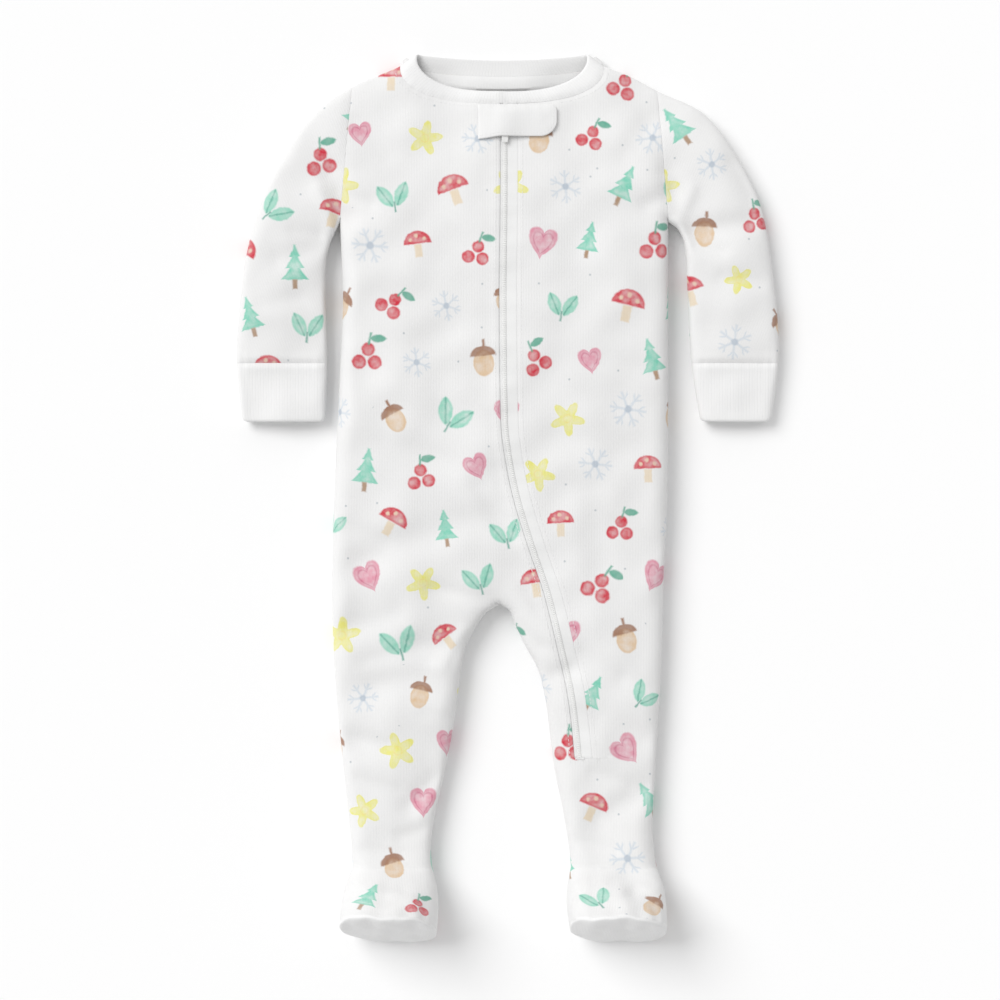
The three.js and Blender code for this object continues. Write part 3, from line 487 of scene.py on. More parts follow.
def flatCoords(outer, fromColumn, toColumn):
    # pattern coordinates in mm: the plan itself between two columns,
    # and past them the cloth's true length round the edge
    step = np.diff(outer, axis=1)
    extra = np.linalg.norm(step, axis=2) - np.linalg.norm(step[..., :2], axis=2)
    extra = np.concatenate([np.zeros((len(outer), 1)), np.cumsum(extra, axis=1)], axis=1)
    column = np.arange(outer.shape[1])
    past = extra - extra[:, [fromColumn]]
    past[:, column > fromColumn] = 0
    past += np.where(column > toColumn, extra - extra[:, [toColumn]], 0)
    row = outer[:, -1, :2] - outer[:, 0, :2]
    row /= np.linalg.norm(row, axis=1)[:, None]
    return outer[..., :2] + past[..., None] * row[:, None]


def tubeCoords(outer, upperColumns, turn=0.0, origin=(0.0, 0.0)):
    # both halves as they lie, meeting at the two edges, then turned and moved to where they were cut
    middle = upperColumns // 2
    upper = flatCoords(outer[:, :upperColumns], middle, middle)
    lower = flatCoords(outer[:, upperColumns - 1:], middle, middle)
    coords = np.hstack([upper, lower[:, 1:]])
    u = coords[..., 0] * math.cos(turn) - coords[..., 1] * math.sin(turn) + origin[0]
    v = coords[..., 0] * math.sin(turn) + coords[..., 1] * math.cos(turn) + origin[1]
    return np.dstack([u, v])


bevel = {"width": 0.06, "segments": 2, "angle": 50}


def roundRim(outer, inner, fromRim, radius):
    # a folded edge: both faces of the cloth come together over its last millimetre
    share = np.clip(fromRim / radius, 0, 1)
    half = np.sqrt(1 - (1 - share) ** 2).clip(0.15, 1)[..., None]
    middle = (outer + inner) / 2
    return middle + (outer - middle) * half, middle + (inner - middle) * half


def meshFromGrids(name, grids, materials, nodes, bevelWidth=bevel["width"]):
    # each grid is outer points, inner points and pattern coordinates; shared points are joined
    outer = np.concatenate([g[0].reshape(-1, 3) for g in grids])
    inner = np.concatenate([g[1].reshape(-1, 3) for g in grids])
    coords = np.concatenate([g[2].reshape(-1, 2) for g in grids]) * mm
    _, firsts, ids = np.unique(np.round(outer, 2), axis=0, return_index=True, return_inverse=True)
    ids = ids.ravel()
    count = len(firsts)
    outside = []
    corners = []
    at = 0
    for g in grids:
        rows, columns = g[0].shape[:2]
        index = np.arange(at, at + rows * columns).reshape(rows, columns)
        at += rows * columns
        quads = np.stack([index[:-1, :-1], index[1:, :-1], index[1:, 1:], index[:-1, 1:]], axis=-1)
        for quad in quads.reshape(-1, 4):
            ring = ids[quad]
            kept = [k for k in range(4) if ring[k] != ring[k - 1]]
            if len(kept) > 2 and len(set(ring[kept].tolist())) == len(kept):
                outside.append(ring[kept].tolist())
                corners.append(coords[quad[kept]])
    edgeCoords = {}
    for ring, place in zip(outside, corners):
        for k, start in enumerate(ring):
            edgeCoords[(ring[k - 1], start)] = (place[k - 1], place[k])
    rim = [edge for edge in edgeCoords if (edge[1], edge[0]) not in edgeCoords]
    faces = outside + [[v + count for v in ring[::-1]] for ring in outside]
    faces += [[b, a, a + count, b + count] for a, b in rim]
    places = corners + [place[::-1] for place in corners]
    for edge in rim:
        first, second = edgeCoords[edge]
        places.append(np.array([second, first, first, second]))
    points = np.concatenate([outer[firsts], inner[firsts]])
    fan = np.array([(ring[0], ring[k], ring[k + 1]) for ring in faces for k in range(1, len(ring) - 1)])
    a, b, c = points[fan[:, 0]], points[fan[:, 1]], points[fan[:, 2]]
    if np.einsum("ij,ij->i", a, np.cross(b, c)).sum() < 0:
        faces = [ring[::-1] for ring in faces]
        places = [place[::-1] for place in places]
    mesh = bpy.data.meshes.new(name)
    mesh.from_pydata((points * mm + np.array(shift)).tolist(), [], faces)
    for material in materials:
        mesh.materials.append(material)
    insideSlot = len(materials) - 1
    sides = [0] * len(outside) + [insideSlot] * len(outside) + [0] * len(rim)
    mesh.polygons.foreach_set("material_index", sides)
    layer = mesh.uv_layers.new(name="cloth")
    layer.data.foreach_set("uv", np.concatenate(places).ravel())
    mesh.update()
    mesh.shade_smooth()
    piece = bpy.data.objects.new(name, mesh)
    bpy.context.collection.objects.link(piece)
    bevelRims(piece, bevelWidth)
    finishPiece(piece, nodes)
    return piece


def bevelRims(piece, width):
    # rounds the cut edges of the cloth
    modifier = piece.modifiers.new("roundedEdge", "BEVEL")
    modifier.width = width * mm
    modifier.segments = bevel["segments"]
    modifier.limit_method = "ANGLE"
    modifier.angle_limit = math.radians(bevel["angle"])
    modifier.use_clamp_overlap = True
    bakeModifiers(piece)


def bakeModifiers(piece):
    bpy.context.view_layer.update()
    graph = bpy.context.evaluated_depsgraph_get()
    mesh = bpy.data.meshes.new_from_object(piece.evaluated_get(graph), depsgraph=graph)
    piece.modifiers.clear()
    old = piece.data
    piece.data = mesh
    mesh.name = piece.name
    bpy.data.meshes.remove(old)


def finishPiece(piece, nodes=()):
    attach(piece, "root")
    if nodes:
        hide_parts(*nodes)


# small helpers for writing shader trees
class Ink:
    def __init__(self, tree):
        self.tree = tree
        self.count = 0

    def node(self, kind, **settings):
        made = self.tree.nodes.new(kind)
        made.location = (-1400 + 170 * (self.count % 14), 700 - 150 * (self.count // 14))
        self.count += 1
        for key, value in settings.items():
            setattr(made, key, value)
        return made

    def plug(self, socket, value):
        if isinstance(value, bpy.types.NodeSocket):
            self.tree.links.new(value, socket)
        elif value is not None:
            socket.default_value = value

    def math(self, operation, a, b=None, c=None, clamp=False):
        made = self.node("ShaderNodeMath", operation=operation, use_clamp=clamp)
        for socket, value in zip(made.inputs, (a, b, c)):
            self.plug(socket, value)
        return made.outputs[0]

    def add(self, a, b):
        return self.math("ADD", a, b)

    def sub(self, a, b):
        return self.math("SUBTRACT", a, b)

    def mul(self, a, b):
        return self.math("MULTIPLY", a, b)

    def low(self, a, b):
        return self.math("MINIMUM", a, b)

    def high(self, a, b):
        return self.math("MAXIMUM", a, b)

    def size(self, x, y):
        return self.math("SQRT", self.math("MULTIPLY_ADD", x, x, self.mul(y, y)))

    def inside(self, distance, soft=0.35):
        # 1 where the distance is below zero, over a soft edge
        return self.math("MULTIPLY_ADD", distance, -0.5 / soft, 0.5, clamp=True)

    def noise(self, vector, scale, detail=2.0, dimensions="3D"):
        made = self.node("ShaderNodeTexNoise", noise_dimensions=dimensions)
        self.plug(made.inputs["Vector"], vector)
        made.inputs["Scale"].default_value = scale
        made.inputs["Detail"].default_value = detail
        return made.outputs["Fac"]

    def mixColor(self, factor, a, b, blend="MIX"):
        made = self.node("ShaderNodeMix", data_type="RGBA", blend_type=blend)
        self.plug(made.inputs[0], factor)
        self.plug(made.inputs[6], a)
        self.plug(made.inputs[7], b)
        return made.outputs[2]


def newGroup(name, inputs, outputs):
    group = bpy.data.node_groups.new(name, "ShaderNodeTree")
    for label, kind, value in inputs:
        socket = group.interface.new_socket(name=label, in_out="INPUT", socket_type=kind)
        if value is not None:
            socket.default_value = value
    for label, kind in outputs:
        group.interface.new_socket(name=label, in_out="OUTPUT", socket_type=kind)
    ink = Ink(group)
    start = ink.node("NodeGroupInput")
    end = ink.node("NodeGroupOutput")
    return group, ink, start, end


# knit: fine upright wales crossed by courses, and the slow unevenness of the yarn
def makeKnitGroup():
    group, ink, start, end = newGroup(
        "knitStitches",
        [("Coords", "NodeSocketVector", None), ("Wale", "NodeSocketFloat", 1.1),
         ("Course", "NodeSocketFloat", 0.9), ("Rib", "NodeSocketFloat", 0.0)],
        [("Height", "NodeSocketFloat"), ("Shade", "NodeSocketFloat")])
    coords = start.outputs["Coords"]
    parts = ink.node("ShaderNodeSeparateXYZ")
    ink.plug(parts.inputs[0], coords)
    wobble = ink.mul(ink.sub(ink.noise(coords, 160.0, 1.0), 0.5), 0.35)
    u = ink.add(ink.math("DIVIDE", ink.mul(parts.outputs[0], 1000.0), start.outputs["Wale"]), wobble)
    v = ink.math("DIVIDE", ink.mul(parts.outputs[1], 1000.0), start.outputs["Course"])
    across = ink.math("PINGPONG", u, 0.5)
    slant = ink.add(v, ink.mul(across, 1.1))
    loops = ink.math("ABSOLUTE", ink.math("SINE", ink.mul(slant, math.pi)))
    wales = ink.math("SINE", ink.mul(across, math.pi))
    weave = ink.mul(ink.math("POWER", wales, 0.6), ink.math("MULTIPLY_ADD", loops, 0.45, 0.55))
    ribs = ink.math("SINE", ink.mul(ink.math("PINGPONG", ink.mul(u, 0.5), 0.5), math.pi))
    weave = ink.add(weave, ink.mul(ribs, start.outputs["Rib"]))
    fuzz = ink.noise(coords, 900.0, 3.0)
    ink.plug(end.inputs["Height"], ink.math("MULTIPLY_ADD", fuzz, 0.35, weave))
    slow = ink.noise(coords, 42.0, 3.0)
    shade = ink.add(ink.mul(weave, 0.35), ink.add(ink.mul(fuzz, 0.25), ink.mul(slow, 0.4)))
    ink.plug(end.inputs["Shade"], shade)
    return group


knitGroup = makeKnitGroup()

# the print: eight plain winter motifs scattered in staggered rows, as thin watercolour, sizes in mm
motifPrint = {
    "cellWidth": 40.0, "cellHeight": 39.0, "jitter": 8.0, "turn": 1.4, "smallest": 1.05, "largest": 1.35,
    "edgeWobble": 1.5, "edgeSoft": 0.5, "paleShare": 0.55, "rimShare": 0.3,
    "dotCell": 19.0, "dotRadius": 0.75, "dotShare": 0.3,
    "main": [(0.21, 0.62, 0.47), (0.80, 0.77, 0.22), (0.62, 0.030, 0.055), (0.30, 0.66, 0.52),
             (0.66, 0.71, 0.76), (0.72, 0.29, 0.38), (0.62, 0.035, 0.060), (0.72, 0.52, 0.33)],
    "accent": [(0.42, 0.27, 0.17), (0.86, 0.62, 0.25), (0.12, 0.40, 0.29), (0.10, 0.36, 0.28),
               (0.50, 0.56, 0.63), (0.55, 0.15, 0.24), (0.80, 0.68, 0.52), (0.36, 0.19, 0.12)],
    "cloth": (0.832, 0.829, 0.826), "dot": (0.42, 0.47, 0.50),
}


def stepRamp(ink, factor, colors):
    ramp = ink.node("ShaderNodeValToRGB")
    ramp.color_ramp.interpolation = "CONSTANT"
    elements = ramp.color_ramp.elements
    elements[1].position = 1 / len(colors)
    for i in range(2, len(colors)):
        elements.new(i / len(colors))
    for element, color in zip(elements, colors):
        element.color = (*color, 1)
    ink.plug(ramp.inputs[0], factor)
    return ramp.outputs[0]


def circle(ink, x, y, centreX, centreY, radius):
    return ink.sub(ink.size(ink.sub(x, centreX), ink.sub(y, centreY)), radius)


def box(ink, x, y, centreX, centreY, halfWidth, halfHeight):
    overX = ink.sub(ink.math("ABSOLUTE", ink.sub(x, centreX)), halfWidth)
    overY = ink.sub(ink.math("ABSOLUTE", ink.sub(y, centreY)), halfHeight)
    return ink.high(overX, overY)


# each motif takes its place about its middle in mm: x, y, the mirrored x, the distance and the angle;
# it gives the edge distance of its main shape and of its accent
def firTree(ink, x, y, ax, r, angle):
    level = ink.math("FRACT", ink.mul(ink.add(y, 7.0), 3 / 19))
    taper = ink.math("MULTIPLY_ADD", y, -0.36, 5.2)
    width = ink.mul(taper, ink.math("MULTIPLY_ADD", level, -0.5, 1.0))
    boughs = ink.high(ink.sub(ax, width), box(ink, x, y, 0, 2.5, 20, 9.5))
    return boughs, box(ink, x, y, 0, -9.5, 1.3, 2.6)


def star(ink, x, y, ax, r, angle):
    wave = ink.math("COSINE", ink.mul(angle, 5.0))
    points = ink.math("MULTIPLY_ADD", wave, 2.7, 7.2)
    return ink.sub(r, points), ink.math("ABSOLUTE", ink.sub(r, 2.2))


def berries(ink, x, y, ax, r, angle):
    pair = circle(ink, ax, y, 4.4, -4.6, 3.9)
    top = circle(ink, x, y, 0.6, 2.4, 3.7)
    twig = ink.high(ink.sub(ink.math("ABSOLUTE", ink.sub(x, ink.mul(y, 0.16))), 0.55),
                    ink.sub(ink.math("ABSOLUTE", ink.sub(y, 8.4)), 3.4))
    leaf = ink.sub(ink.size(ink.add(ink.math("ABSOLUTE", ink.sub(y, 8.6)), 4.0), ink.sub(x, 6.0)), 6.2)
    return ink.low(pair, top), ink.low(twig, leaf)


def leafPair(ink, x, y, ax, r, angle):
    leafX = ink.sub(ink.mul(ax, 0.82), ink.math("MULTIPLY_ADD", y, 0.45, 4.4))
    leafY = ink.add(ink.mul(y, 0.82), ink.mul(ax, 0.45))
    leaf = ink.sub(ink.size(ink.add(ink.math("ABSOLUTE", leafX), 5.4), ink.sub(leafY, 1.5)), 9.0)
    rib = ink.high(ink.sub(ink.math("ABSOLUTE", leafX), 0.35), ink.sub(leaf, -0.4))
    stalk = box(ink, x, y, 0, -8.0, 0.5, 3.2)
    return leaf, ink.low(rib, stalk)


def snowCrystal(ink, x, y, ax, r, angle):
    folded = ink.math("PINGPONG", ink.math("ADD", angle, 2 * math.pi), math.pi / 6)
    along = ink.mul(r, ink.math("COSINE", folded))
    beside = ink.mul(r, ink.math("SINE", folded))
    arm = ink.high(ink.sub(beside, 0.62), ink.sub(along, 9.6))
    twigs = ink.math("ABSOLUTE", ink.sub(ink.sub(along, beside), 5.4))
    twigs = ink.high(ink.sub(twigs, 0.6), ink.sub(beside, 2.6))
    return ink.low(arm, twigs), circle(ink, x, y, 0, 0, 1.9)


def heart(ink, x, y, ax, r, angle):
    lobe = ink.sub(ink.add(y, 1.6), ink.mul(ink.math("SQRT", ax), 2.1))
    shape = ink.sub(ink.size(ink.mul(ax, 1.02), ink.mul(lobe, 1.12)), 7.6)
    return shape, ink.sub(ink.math("ABSOLUTE", ink.add(shape, 2.4)), 0.32)


def mushroom(ink, x, y, ax, r, angle):
    cap = ink.high(ink.sub(ink.size(x, ink.mul(y, 1.12)), 8.8), ink.mul(ink.add(y, 0.4), -1.0))
    stem = box(ink, ax, ink.add(y, 5.0), 0, 0, 2.4, 4.2)
    spots = ink.low(circle(ink, ax, y, 4.4, 2.6, 1.15), circle(ink, x, y, -0.4, 4.9, 1.3))
    return cap, ink.low(stem, spots)


def acorn(ink, x, y, ax, r, angle):
    nut = ink.sub(ink.size(ink.mul(x, 1.28), ink.add(y, 1.8)), 7.0)
    cup = ink.sub(ink.size(x, ink.mul(ink.sub(y, 2.2), 1.35)), 6.8)
    cup = ink.high(cup, ink.mul(ink.sub(y, 2.0), -1.0))
    return nut, ink.low(cup, box(ink, x, y, 0.8, 8.6, 0.75, 2.2))


motifShapes = [firTree, star, berries, leafPair, snowCrystal, heart, mushroom, acorn]


def makePrintGroup():
    group, ink, start, end = newGroup(
        "scatteredPrint", [("Coords", "NodeSocketVector", None), ("Seed", "NodeSocketFloat", 0.0)],
        [("Color", "NodeSocketColor"), ("Ink", "NodeSocketFloat")])
    coords = start.outputs["Coords"]
    parts = ink.node("ShaderNodeSeparateXYZ")
    ink.plug(parts.inputs[0], coords)
    wobbleX = ink.mul(ink.sub(ink.noise(coords, 330.0, 2.0), 0.5), motifPrint["edgeWobble"])
    u = ink.math("MULTIPLY_ADD", parts.outputs[0], 1000.0, wobbleX)
    v = ink.math("MULTIPLY_ADD", parts.outputs[1], 1000.0, ink.mul(wobbleX, -0.8))

    # which cell, and the place in it
    row = ink.math("FLOOR", ink.math("DIVIDE", v, motifPrint["cellHeight"]))
    stagger = ink.mul(ink.math("FLOORED_MODULO", row, 2.0), 0.5)
    cellU = ink.add(ink.math("DIVIDE", u, motifPrint["cellWidth"]), stagger)
    column = ink.math("FLOOR", cellU)
    cell = ink.node("ShaderNodeCombineXYZ")
    ink.plug(cell.inputs[0], column)
    ink.plug(cell.inputs[1], row)
    ink.plug(cell.inputs[2], start.outputs["Seed"])
    dice = ink.node("ShaderNodeTexWhiteNoise", noise_dimensions="3D")
    ink.plug(dice.inputs[0], cell.outputs[0])
    chances = ink.node("ShaderNodeSeparateColor")
    ink.plug(chances.inputs[0], dice.outputs["Color"])
    chanceX, chanceY, chanceTurn = chances.outputs

    # neighbours differ: the kind walks on by three along a row and by five from row to row
    walk = ink.add(ink.mul(column, 3.0), ink.add(ink.mul(row, 5.0), ink.mul(chanceTurn, 1.99)))
    kind = ink.math("FLOORED_MODULO", ink.math("FLOOR", walk), 8.0)

    localX = ink.mul(ink.sub(ink.math("FRACT", cellU), 0.5), motifPrint["cellWidth"])
    localX = ink.sub(localX, ink.mul(ink.sub(chanceX, 0.5), motifPrint["jitter"]))
    localY = ink.math("DIVIDE", v, motifPrint["cellHeight"])
    localY = ink.mul(ink.sub(ink.math("FRACT", localY), 0.5), motifPrint["cellHeight"])
    localY = ink.sub(localY, ink.mul(ink.sub(chanceY, 0.5), motifPrint["jitter"]))
    turn = ink.mul(ink.sub(chanceTurn, 0.5), motifPrint["turn"])
    grow = ink.math("MULTIPLY_ADD", chanceX, motifPrint["largest"] - motifPrint["smallest"],
                    motifPrint["smallest"])
    cos = ink.math("DIVIDE", ink.math("COSINE", turn), grow)
    sin = ink.math("DIVIDE", ink.math("SINE", turn), grow)
    x = ink.sub(ink.mul(localX, cos), ink.mul(localY, sin))
    y = ink.add(ink.mul(localX, sin), ink.mul(localY, cos))
    ax = ink.math("ABSOLUTE", x)
    r = ink.size(x, y)
    angle = ink.math("ARCTAN2", x, y)

    main = 0.0
    accent = 0.0
    rim = 0.0
    for number, shape in enumerate(motifShapes):
        chosen = ink.math("COMPARE", kind, float(number), 0.1)
        mainEdge, accentEdge = shape(ink, x, y, ax, r, angle)
        main = ink.add(main, ink.mul(chosen, ink.inside(mainEdge, motifPrint["edgeSoft"])))
        accent = ink.add(accent, ink.mul(chosen, ink.inside(accentEdge, motifPrint["edgeSoft"])))
        rim = ink.add(rim, ink.mul(chosen, ink.inside(ink.add(mainEdge, 1.1), 0.9)))

    # thin paint: paler and stronger patches, with more colour drawn together at the rim
    patchy = ink.noise(coords, 150.0, 4.0)
    patchy = ink.math("MULTIPLY_ADD", ink.sub(patchy, 0.5), 2.6, 0.5, clamp=True)
    pale = ink.mul(ink.mul(patchy, motifPrint["paleShare"]),
                   ink.math("MULTIPLY_ADD", rim, 1 - motifPrint["rimShare"], motifPrint["rimShare"]))
    strength = ink.sub(1.0, pale)
    kindShare = ink.math("DIVIDE", ink.add(kind, 0.5), 8.0)
    cloth = (*motifPrint["cloth"], 1)
    painted = ink.mixColor(ink.mul(main, strength), cloth, stepRamp(ink, kindShare, motifPrint["main"]))
    painted = ink.mixColor(ink.mul(accent, strength), painted,
                           stepRamp(ink, kindShare, motifPrint["accent"]))

    # tiny grey flecks between the motifs
    fleck = ink.node("ShaderNodeTexVoronoi", voronoi_dimensions="2D", feature="F1")
    ink.plug(fleck.inputs["Vector"], coords)
    fleck.inputs["Scale"].default_value = 1000.0 / motifPrint["dotCell"]
    fleckDistance = ink.mul(fleck.outputs["Distance"], motifPrint["dotCell"])
    fleckParts = ink.node("ShaderNodeSeparateColor")
    ink.plug(fleckParts.inputs[0], fleck.outputs["Color"])
    wanted = ink.math("LESS_THAN", fleckParts.outputs[0], motifPrint["dotShare"])
    clear = ink.math("GREATER_THAN", r, 13.0)
    fleckMask = ink.mul(ink.inside(ink.sub(fleckDistance, motifPrint["dotRadius"]), 0.3),
                        ink.mul(wanted, ink.mul(clear, 0.7)))
    painted = ink.mixColor(fleckMask, painted, (*motifPrint["dot"], 1))
    ink.plug(end.inputs["Color"], painted)
    ink.plug(end.inputs["Ink"], ink.math("MINIMUM", ink.add(main, accent), 1.0))
    return group


printGroup = makePrintGroup()
print("node groups made")


def useGroup(ink, group, **values):
    made = ink.node("ShaderNodeGroup", node_tree=group)
    for label, value in values.items():
        ink.plug(made.inputs[label], value)
    return made


def makeCloth(name, color, wale=1.1, course=0.9, rib=0.0, bump=0.45, shadeDepth=0.05, sheen=0.25,
              rough=0.86, printed=False):
    # a knitted cotton with its own stitch size; the print lies on its face where wanted
    material = bpy.data.materials.new(name)
    material.use_nodes = True
    ink = Ink(material.node_tree)
    shader = material.node_tree.nodes["Principled BSDF"]
    uv = ink.node("ShaderNodeUVMap", uv_map="cloth")
    knitted = useGroup(ink, knitGroup, Coords=uv.outputs[0], Wale=wale, Course=course, Rib=rib)
    base = (*color, 1)
    if printed:
        base = useGroup(ink, printGroup, Coords=uv.outputs[0]).outputs["Color"]
    shade = ink.math("MULTIPLY_ADD", knitted.outputs["Shade"], 2 * shadeDepth, 1 - 1.2 * shadeDepth)
    grey = ink.node("ShaderNodeCombineColor")
    for socket in grey.inputs:
        ink.plug(socket, shade)
    ink.plug(shader.inputs["Base Color"], ink.mixColor(1.0, base, grey.outputs[0], "MULTIPLY"))
    roughness = ink.math("MULTIPLY_ADD", knitted.outputs["Shade"], 0.12, rough - 0.06)
    ink.plug(shader.inputs["Roughness"], roughness)
    relief = ink.node("ShaderNodeBump")
    relief.inputs["Strength"].default_value = bump
    relief.inputs["Distance"].default_value = 0.00035
    ink.plug(relief.inputs["Height"], knitted.outputs["Height"])
    ink.plug(shader.inputs["Normal"], relief.outputs[0])
    shader.inputs["Sheen Weight"].default_value = sheen
    shader.inputs["Sheen Roughness"].default_value = 0.55
    shader.inputs["Specular IOR Level"].default_value = 0.22
    return material


printedJersey = makeCloth("printedJersey", motifPrint["cloth"], printed=True)
jerseyInside = makeCloth("jerseyInside", (0.85, 0.848, 0.845), wale=1.1, course=0.6, bump=0.35)
whiteRib = makeCloth("whiteRib", (0.86, 0.858, 0.856), wale=0.95, course=0.8, rib=0.6, bump=0.4)
# inside faces of the rib: the same white rib made darker, a painted shade for the shadow inside the neck
# and cuffs
ribInsidePaintedShade = makeCloth("ribInsidePaintedShade", (0.785, 0.783, 0.78), wale=0.95, course=0.8, rib=0.6, bump=0.4)
plainJersey = makeCloth("plainJersey", (0.83, 0.828, 0.825), bump=0.35)
soleJersey = makeCloth("soleJersey", (0.87, 0.868, 0.866), wale=1.0, course=0.85)
zipTapeCloth = makeCloth("zipTape", (0.838, 0.838, 0.834), wale=0.7, course=1.4, bump=0.3, rough=0.78)


def makeSmooth(name, color, rough, wear):
    # moulded or enamelled zip parts: slightly uneven gloss, dulled by handling
    material = bpy.data.materials.new(name)
    material.use_nodes = True
    ink = Ink(material.node_tree)
    shader = material.node_tree.nodes["Principled BSDF"]
    place = ink.node("ShaderNodeTexCoord")
    cloudy = ink.noise(place.outputs["Object"], 380.0, 4.0)
    fine = ink.noise(place.outputs["Object"], 2600.0, 2.0)
    darker = tuple(value * (1 - wear) for value in color)
    ink.plug(shader.inputs["Base Color"], ink.mixColor(cloudy, (*color, 1), (*darker, 1)))
    ink.plug(shader.inputs["Roughness"], ink.math("MULTIPLY_ADD", cloudy, 0.25, rough - 0.1))
    relief = ink.node("ShaderNodeBump")
    relief.inputs["Strength"].default_value = 0.12
    relief.inputs["Distance"].default_value = 0.0002
    ink.plug(relief.inputs["Height"], fine)
    ink.plug(shader.inputs["Normal"], relief.outputs[0])
    return material


zipNylon = makeSmooth("zipNylon", (0.83, 0.83, 0.82), 0.45, 0.06)
zipEnamel = makeSmooth("zipEnamel", (0.84, 0.84, 0.83), 0.35, 0.08)
sewingThread = makeSmooth("sewingThread", (0.84, 0.84, 0.835), 0.7, 0.05)
jerseyPair = [printedJersey, jerseyInside]
print("materials made")


def rightChestColumns(y):
    side = float(readTable(rightSideEdge, y))
    return columnsFromEdge(side, crotchGuideX(y), float(layerHeight(side, y)), guideColumns)


def legColumns(outerEdge, innerEdge):
    # evenly spaced like the body at the crotch, then close together at both edges of the leg
    def columnsAt(y):
        outer = float(readTable(outerEdge, y))
        inner = float(readTable(innerEdge, y))
        height = float(layerHeight(0, y))
        asBody = columnsFromEdge(outer, inner, height, guideColumns)
        asLeg = columnsAcross(min(outer, inner), max(outer, inner), height, grid["legEven"])
        if inner < outer:
            asBody = asBody[::-1]
        return mix(asBody, asLeg, smoothStep(0, 16, body["crotchY"] - y))
    return columnsAt


def legGrid(edges, upper, firstRow):
    plan = planOfRows(legColumns(*edges), legYs)
    outer, inner = clothGrid(plan, upper, edgeMask(plan, True, True))
    outer[0] = firstRow[0]
    inner[0] = firstRow[1]
    middle = crotchColumn // 2
    return outer, inner, flatCoords(outer, middle, middle)


def crotchMask(plan, start, end):
    mask = edgeMask(plan, start, end)
    mask[-1, crotchColumn] = True
    return mask


# the foot: from the ankle to a sole that stands up on its heel
foot = {
    "halfWidth": 33.5, "toeHeight": 70.0, "toeY": -286.0, "heelY": -311.5,
    "centreX": {"right": -83.0, "left": 76.3}, "squareness": 2.6,
    "skew": {"right": -0.055, "left": -0.03}, "toeWave": 0.85,
    "puff": 2.5, "soleBulge": 4.2, "soleLift": 0.6, "seamRidge": 0.3, "toSole": 0.985,
    "ridgeAt": 0.965, "ridgeWidth": 0.02, "lateRise": 1.9, "lateShare": 0.55,
    "gathers": 13, "gatherDepth": 0.75, "gathersFrom": 0.5, "gathersTo": 0.95,
    "unevenness": 1.9, "waveScale": 1.6, "soleDents": 0.6, "dentScale": 2.2, "dentOffset": 300,
}
soleUp = np.array([0, foot["toeY"] - foot["heelY"], foot["toeHeight"]])
soleHalfLength = float(np.linalg.norm(soleUp)) / 2
soleUp = soleUp / np.linalg.norm(soleUp)
soleOut = np.array([0, -soleUp[2], soleUp[1]])
legEdges = {"right": (rightSideEdge, rightInseamEdge), "left": (leftSideEdge, leftInseamEdge)}


def solePoints(side, turns, upper, inset):
    up = 1 if upper else -1
    cos = -np.cos(turns * math.pi)
    sin = np.sin(turns * math.pi)
    power = 2 / foot["squareness"]
    across = np.sign(cos) * np.abs(cos) ** power * (foot["halfWidth"] - inset)
    along = up * np.abs(sin) ** power * (soleHalfLength - inset)
    centre = np.array([foot["centreX"][side], (foot["toeY"] + foot["heelY"]) / 2,
                       foot["toeHeight"] / 2 + foot["soleLift"]])
    points = centre + along[:, None] * soleUp + across[:, None] * np.array([1, 0, 0])
    points[:, 1] += foot["skew"][side] * across
    uneven = np.sin(across * 0.17 + foot["centreX"][side]) + 0.5 * np.sin(across * 0.41)
    points[:, 1] += foot["toeWave"] * uneven * (1 if upper else 0.3)
    return points


def footGrid(side, upper, ankle):
    # rows from the ankle's own row of points to just short of the sole's rim
    ankleOuter, ankleInner = ankle
    standard = legColumns(*legEdges[side])(body["ankleY"])
    turns = np.interp(ankleOuter[:, 0], standard, np.linspace(0, 1, len(standard)))
    soleEdge = solePoints(side, turns, upper, 0)
    soleInner = solePoints(side, turns, upper, body["clothWall"])
    spread = (1 if upper else -1) * gap / 2 * np.abs(np.cos(turns * math.pi)) ** 8
    clearOfSeams = np.sin(turns * math.pi)
    gathers = foot["gatherDepth"] * np.sin(turns * math.pi * foot["gathers"] + 1.6 * np.sin(turns * 8))
    outerRows = []
    innerRows = []
    for t in foot["toSole"] * np.linspace(0, 1, grid["footRows"] + 1):
        lifted = np.array([t, t, mix(t, t ** foot["lateRise"], foot["lateShare"])])
        outer = mix(ankleOuter, soleEdge, lifted)
        inner = mix(ankleInner, soleInner, lifted)
        outward = outer - inner
        outward /= np.linalg.norm(outward, axis=1)[:, None]
        ridge = foot["seamRidge"] * math.exp(-((t - foot["ridgeAt"]) / foot["ridgeWidth"]) ** 2)
        puff = outward * foot["puff"] * math.sin(t * math.pi)
        if upper:
            waveX, waveY = outer[:, 0] * foot["waveScale"], outer[:, 1] * foot["waveScale"]
            wave = softWaves(waveX, waveY - outer[:, 2])
            wave *= foot["unevenness"] * math.sin(t * math.pi)
            drawnIn = gathers * smoothStep(foot["gathersFrom"], foot["gathersTo"], t)
            puff += outward * (clearOfSeams * (ridge + wave + drawnIn))[:, None]
        else:
            puff[:, 2] = 0
        puff[:, 2] += spread * t
        outerRows.append(outer + puff)
        innerRows.append(inner + puff)
    outer = np.array(outerRows)
    middle = len(turns) // 2
    down = np.linalg.norm(np.diff(outer[:, middle], axis=0), axis=1)
    v = body["ankleY"] - np.concatenate([[0], np.cumsum(down)])
    u = flatCoords(outer, middle, middle)[..., 0]
    return outer, np.array(innerRows), np.dstack([u, np.repeat(v[:, None], outer.shape[1], axis=1)])


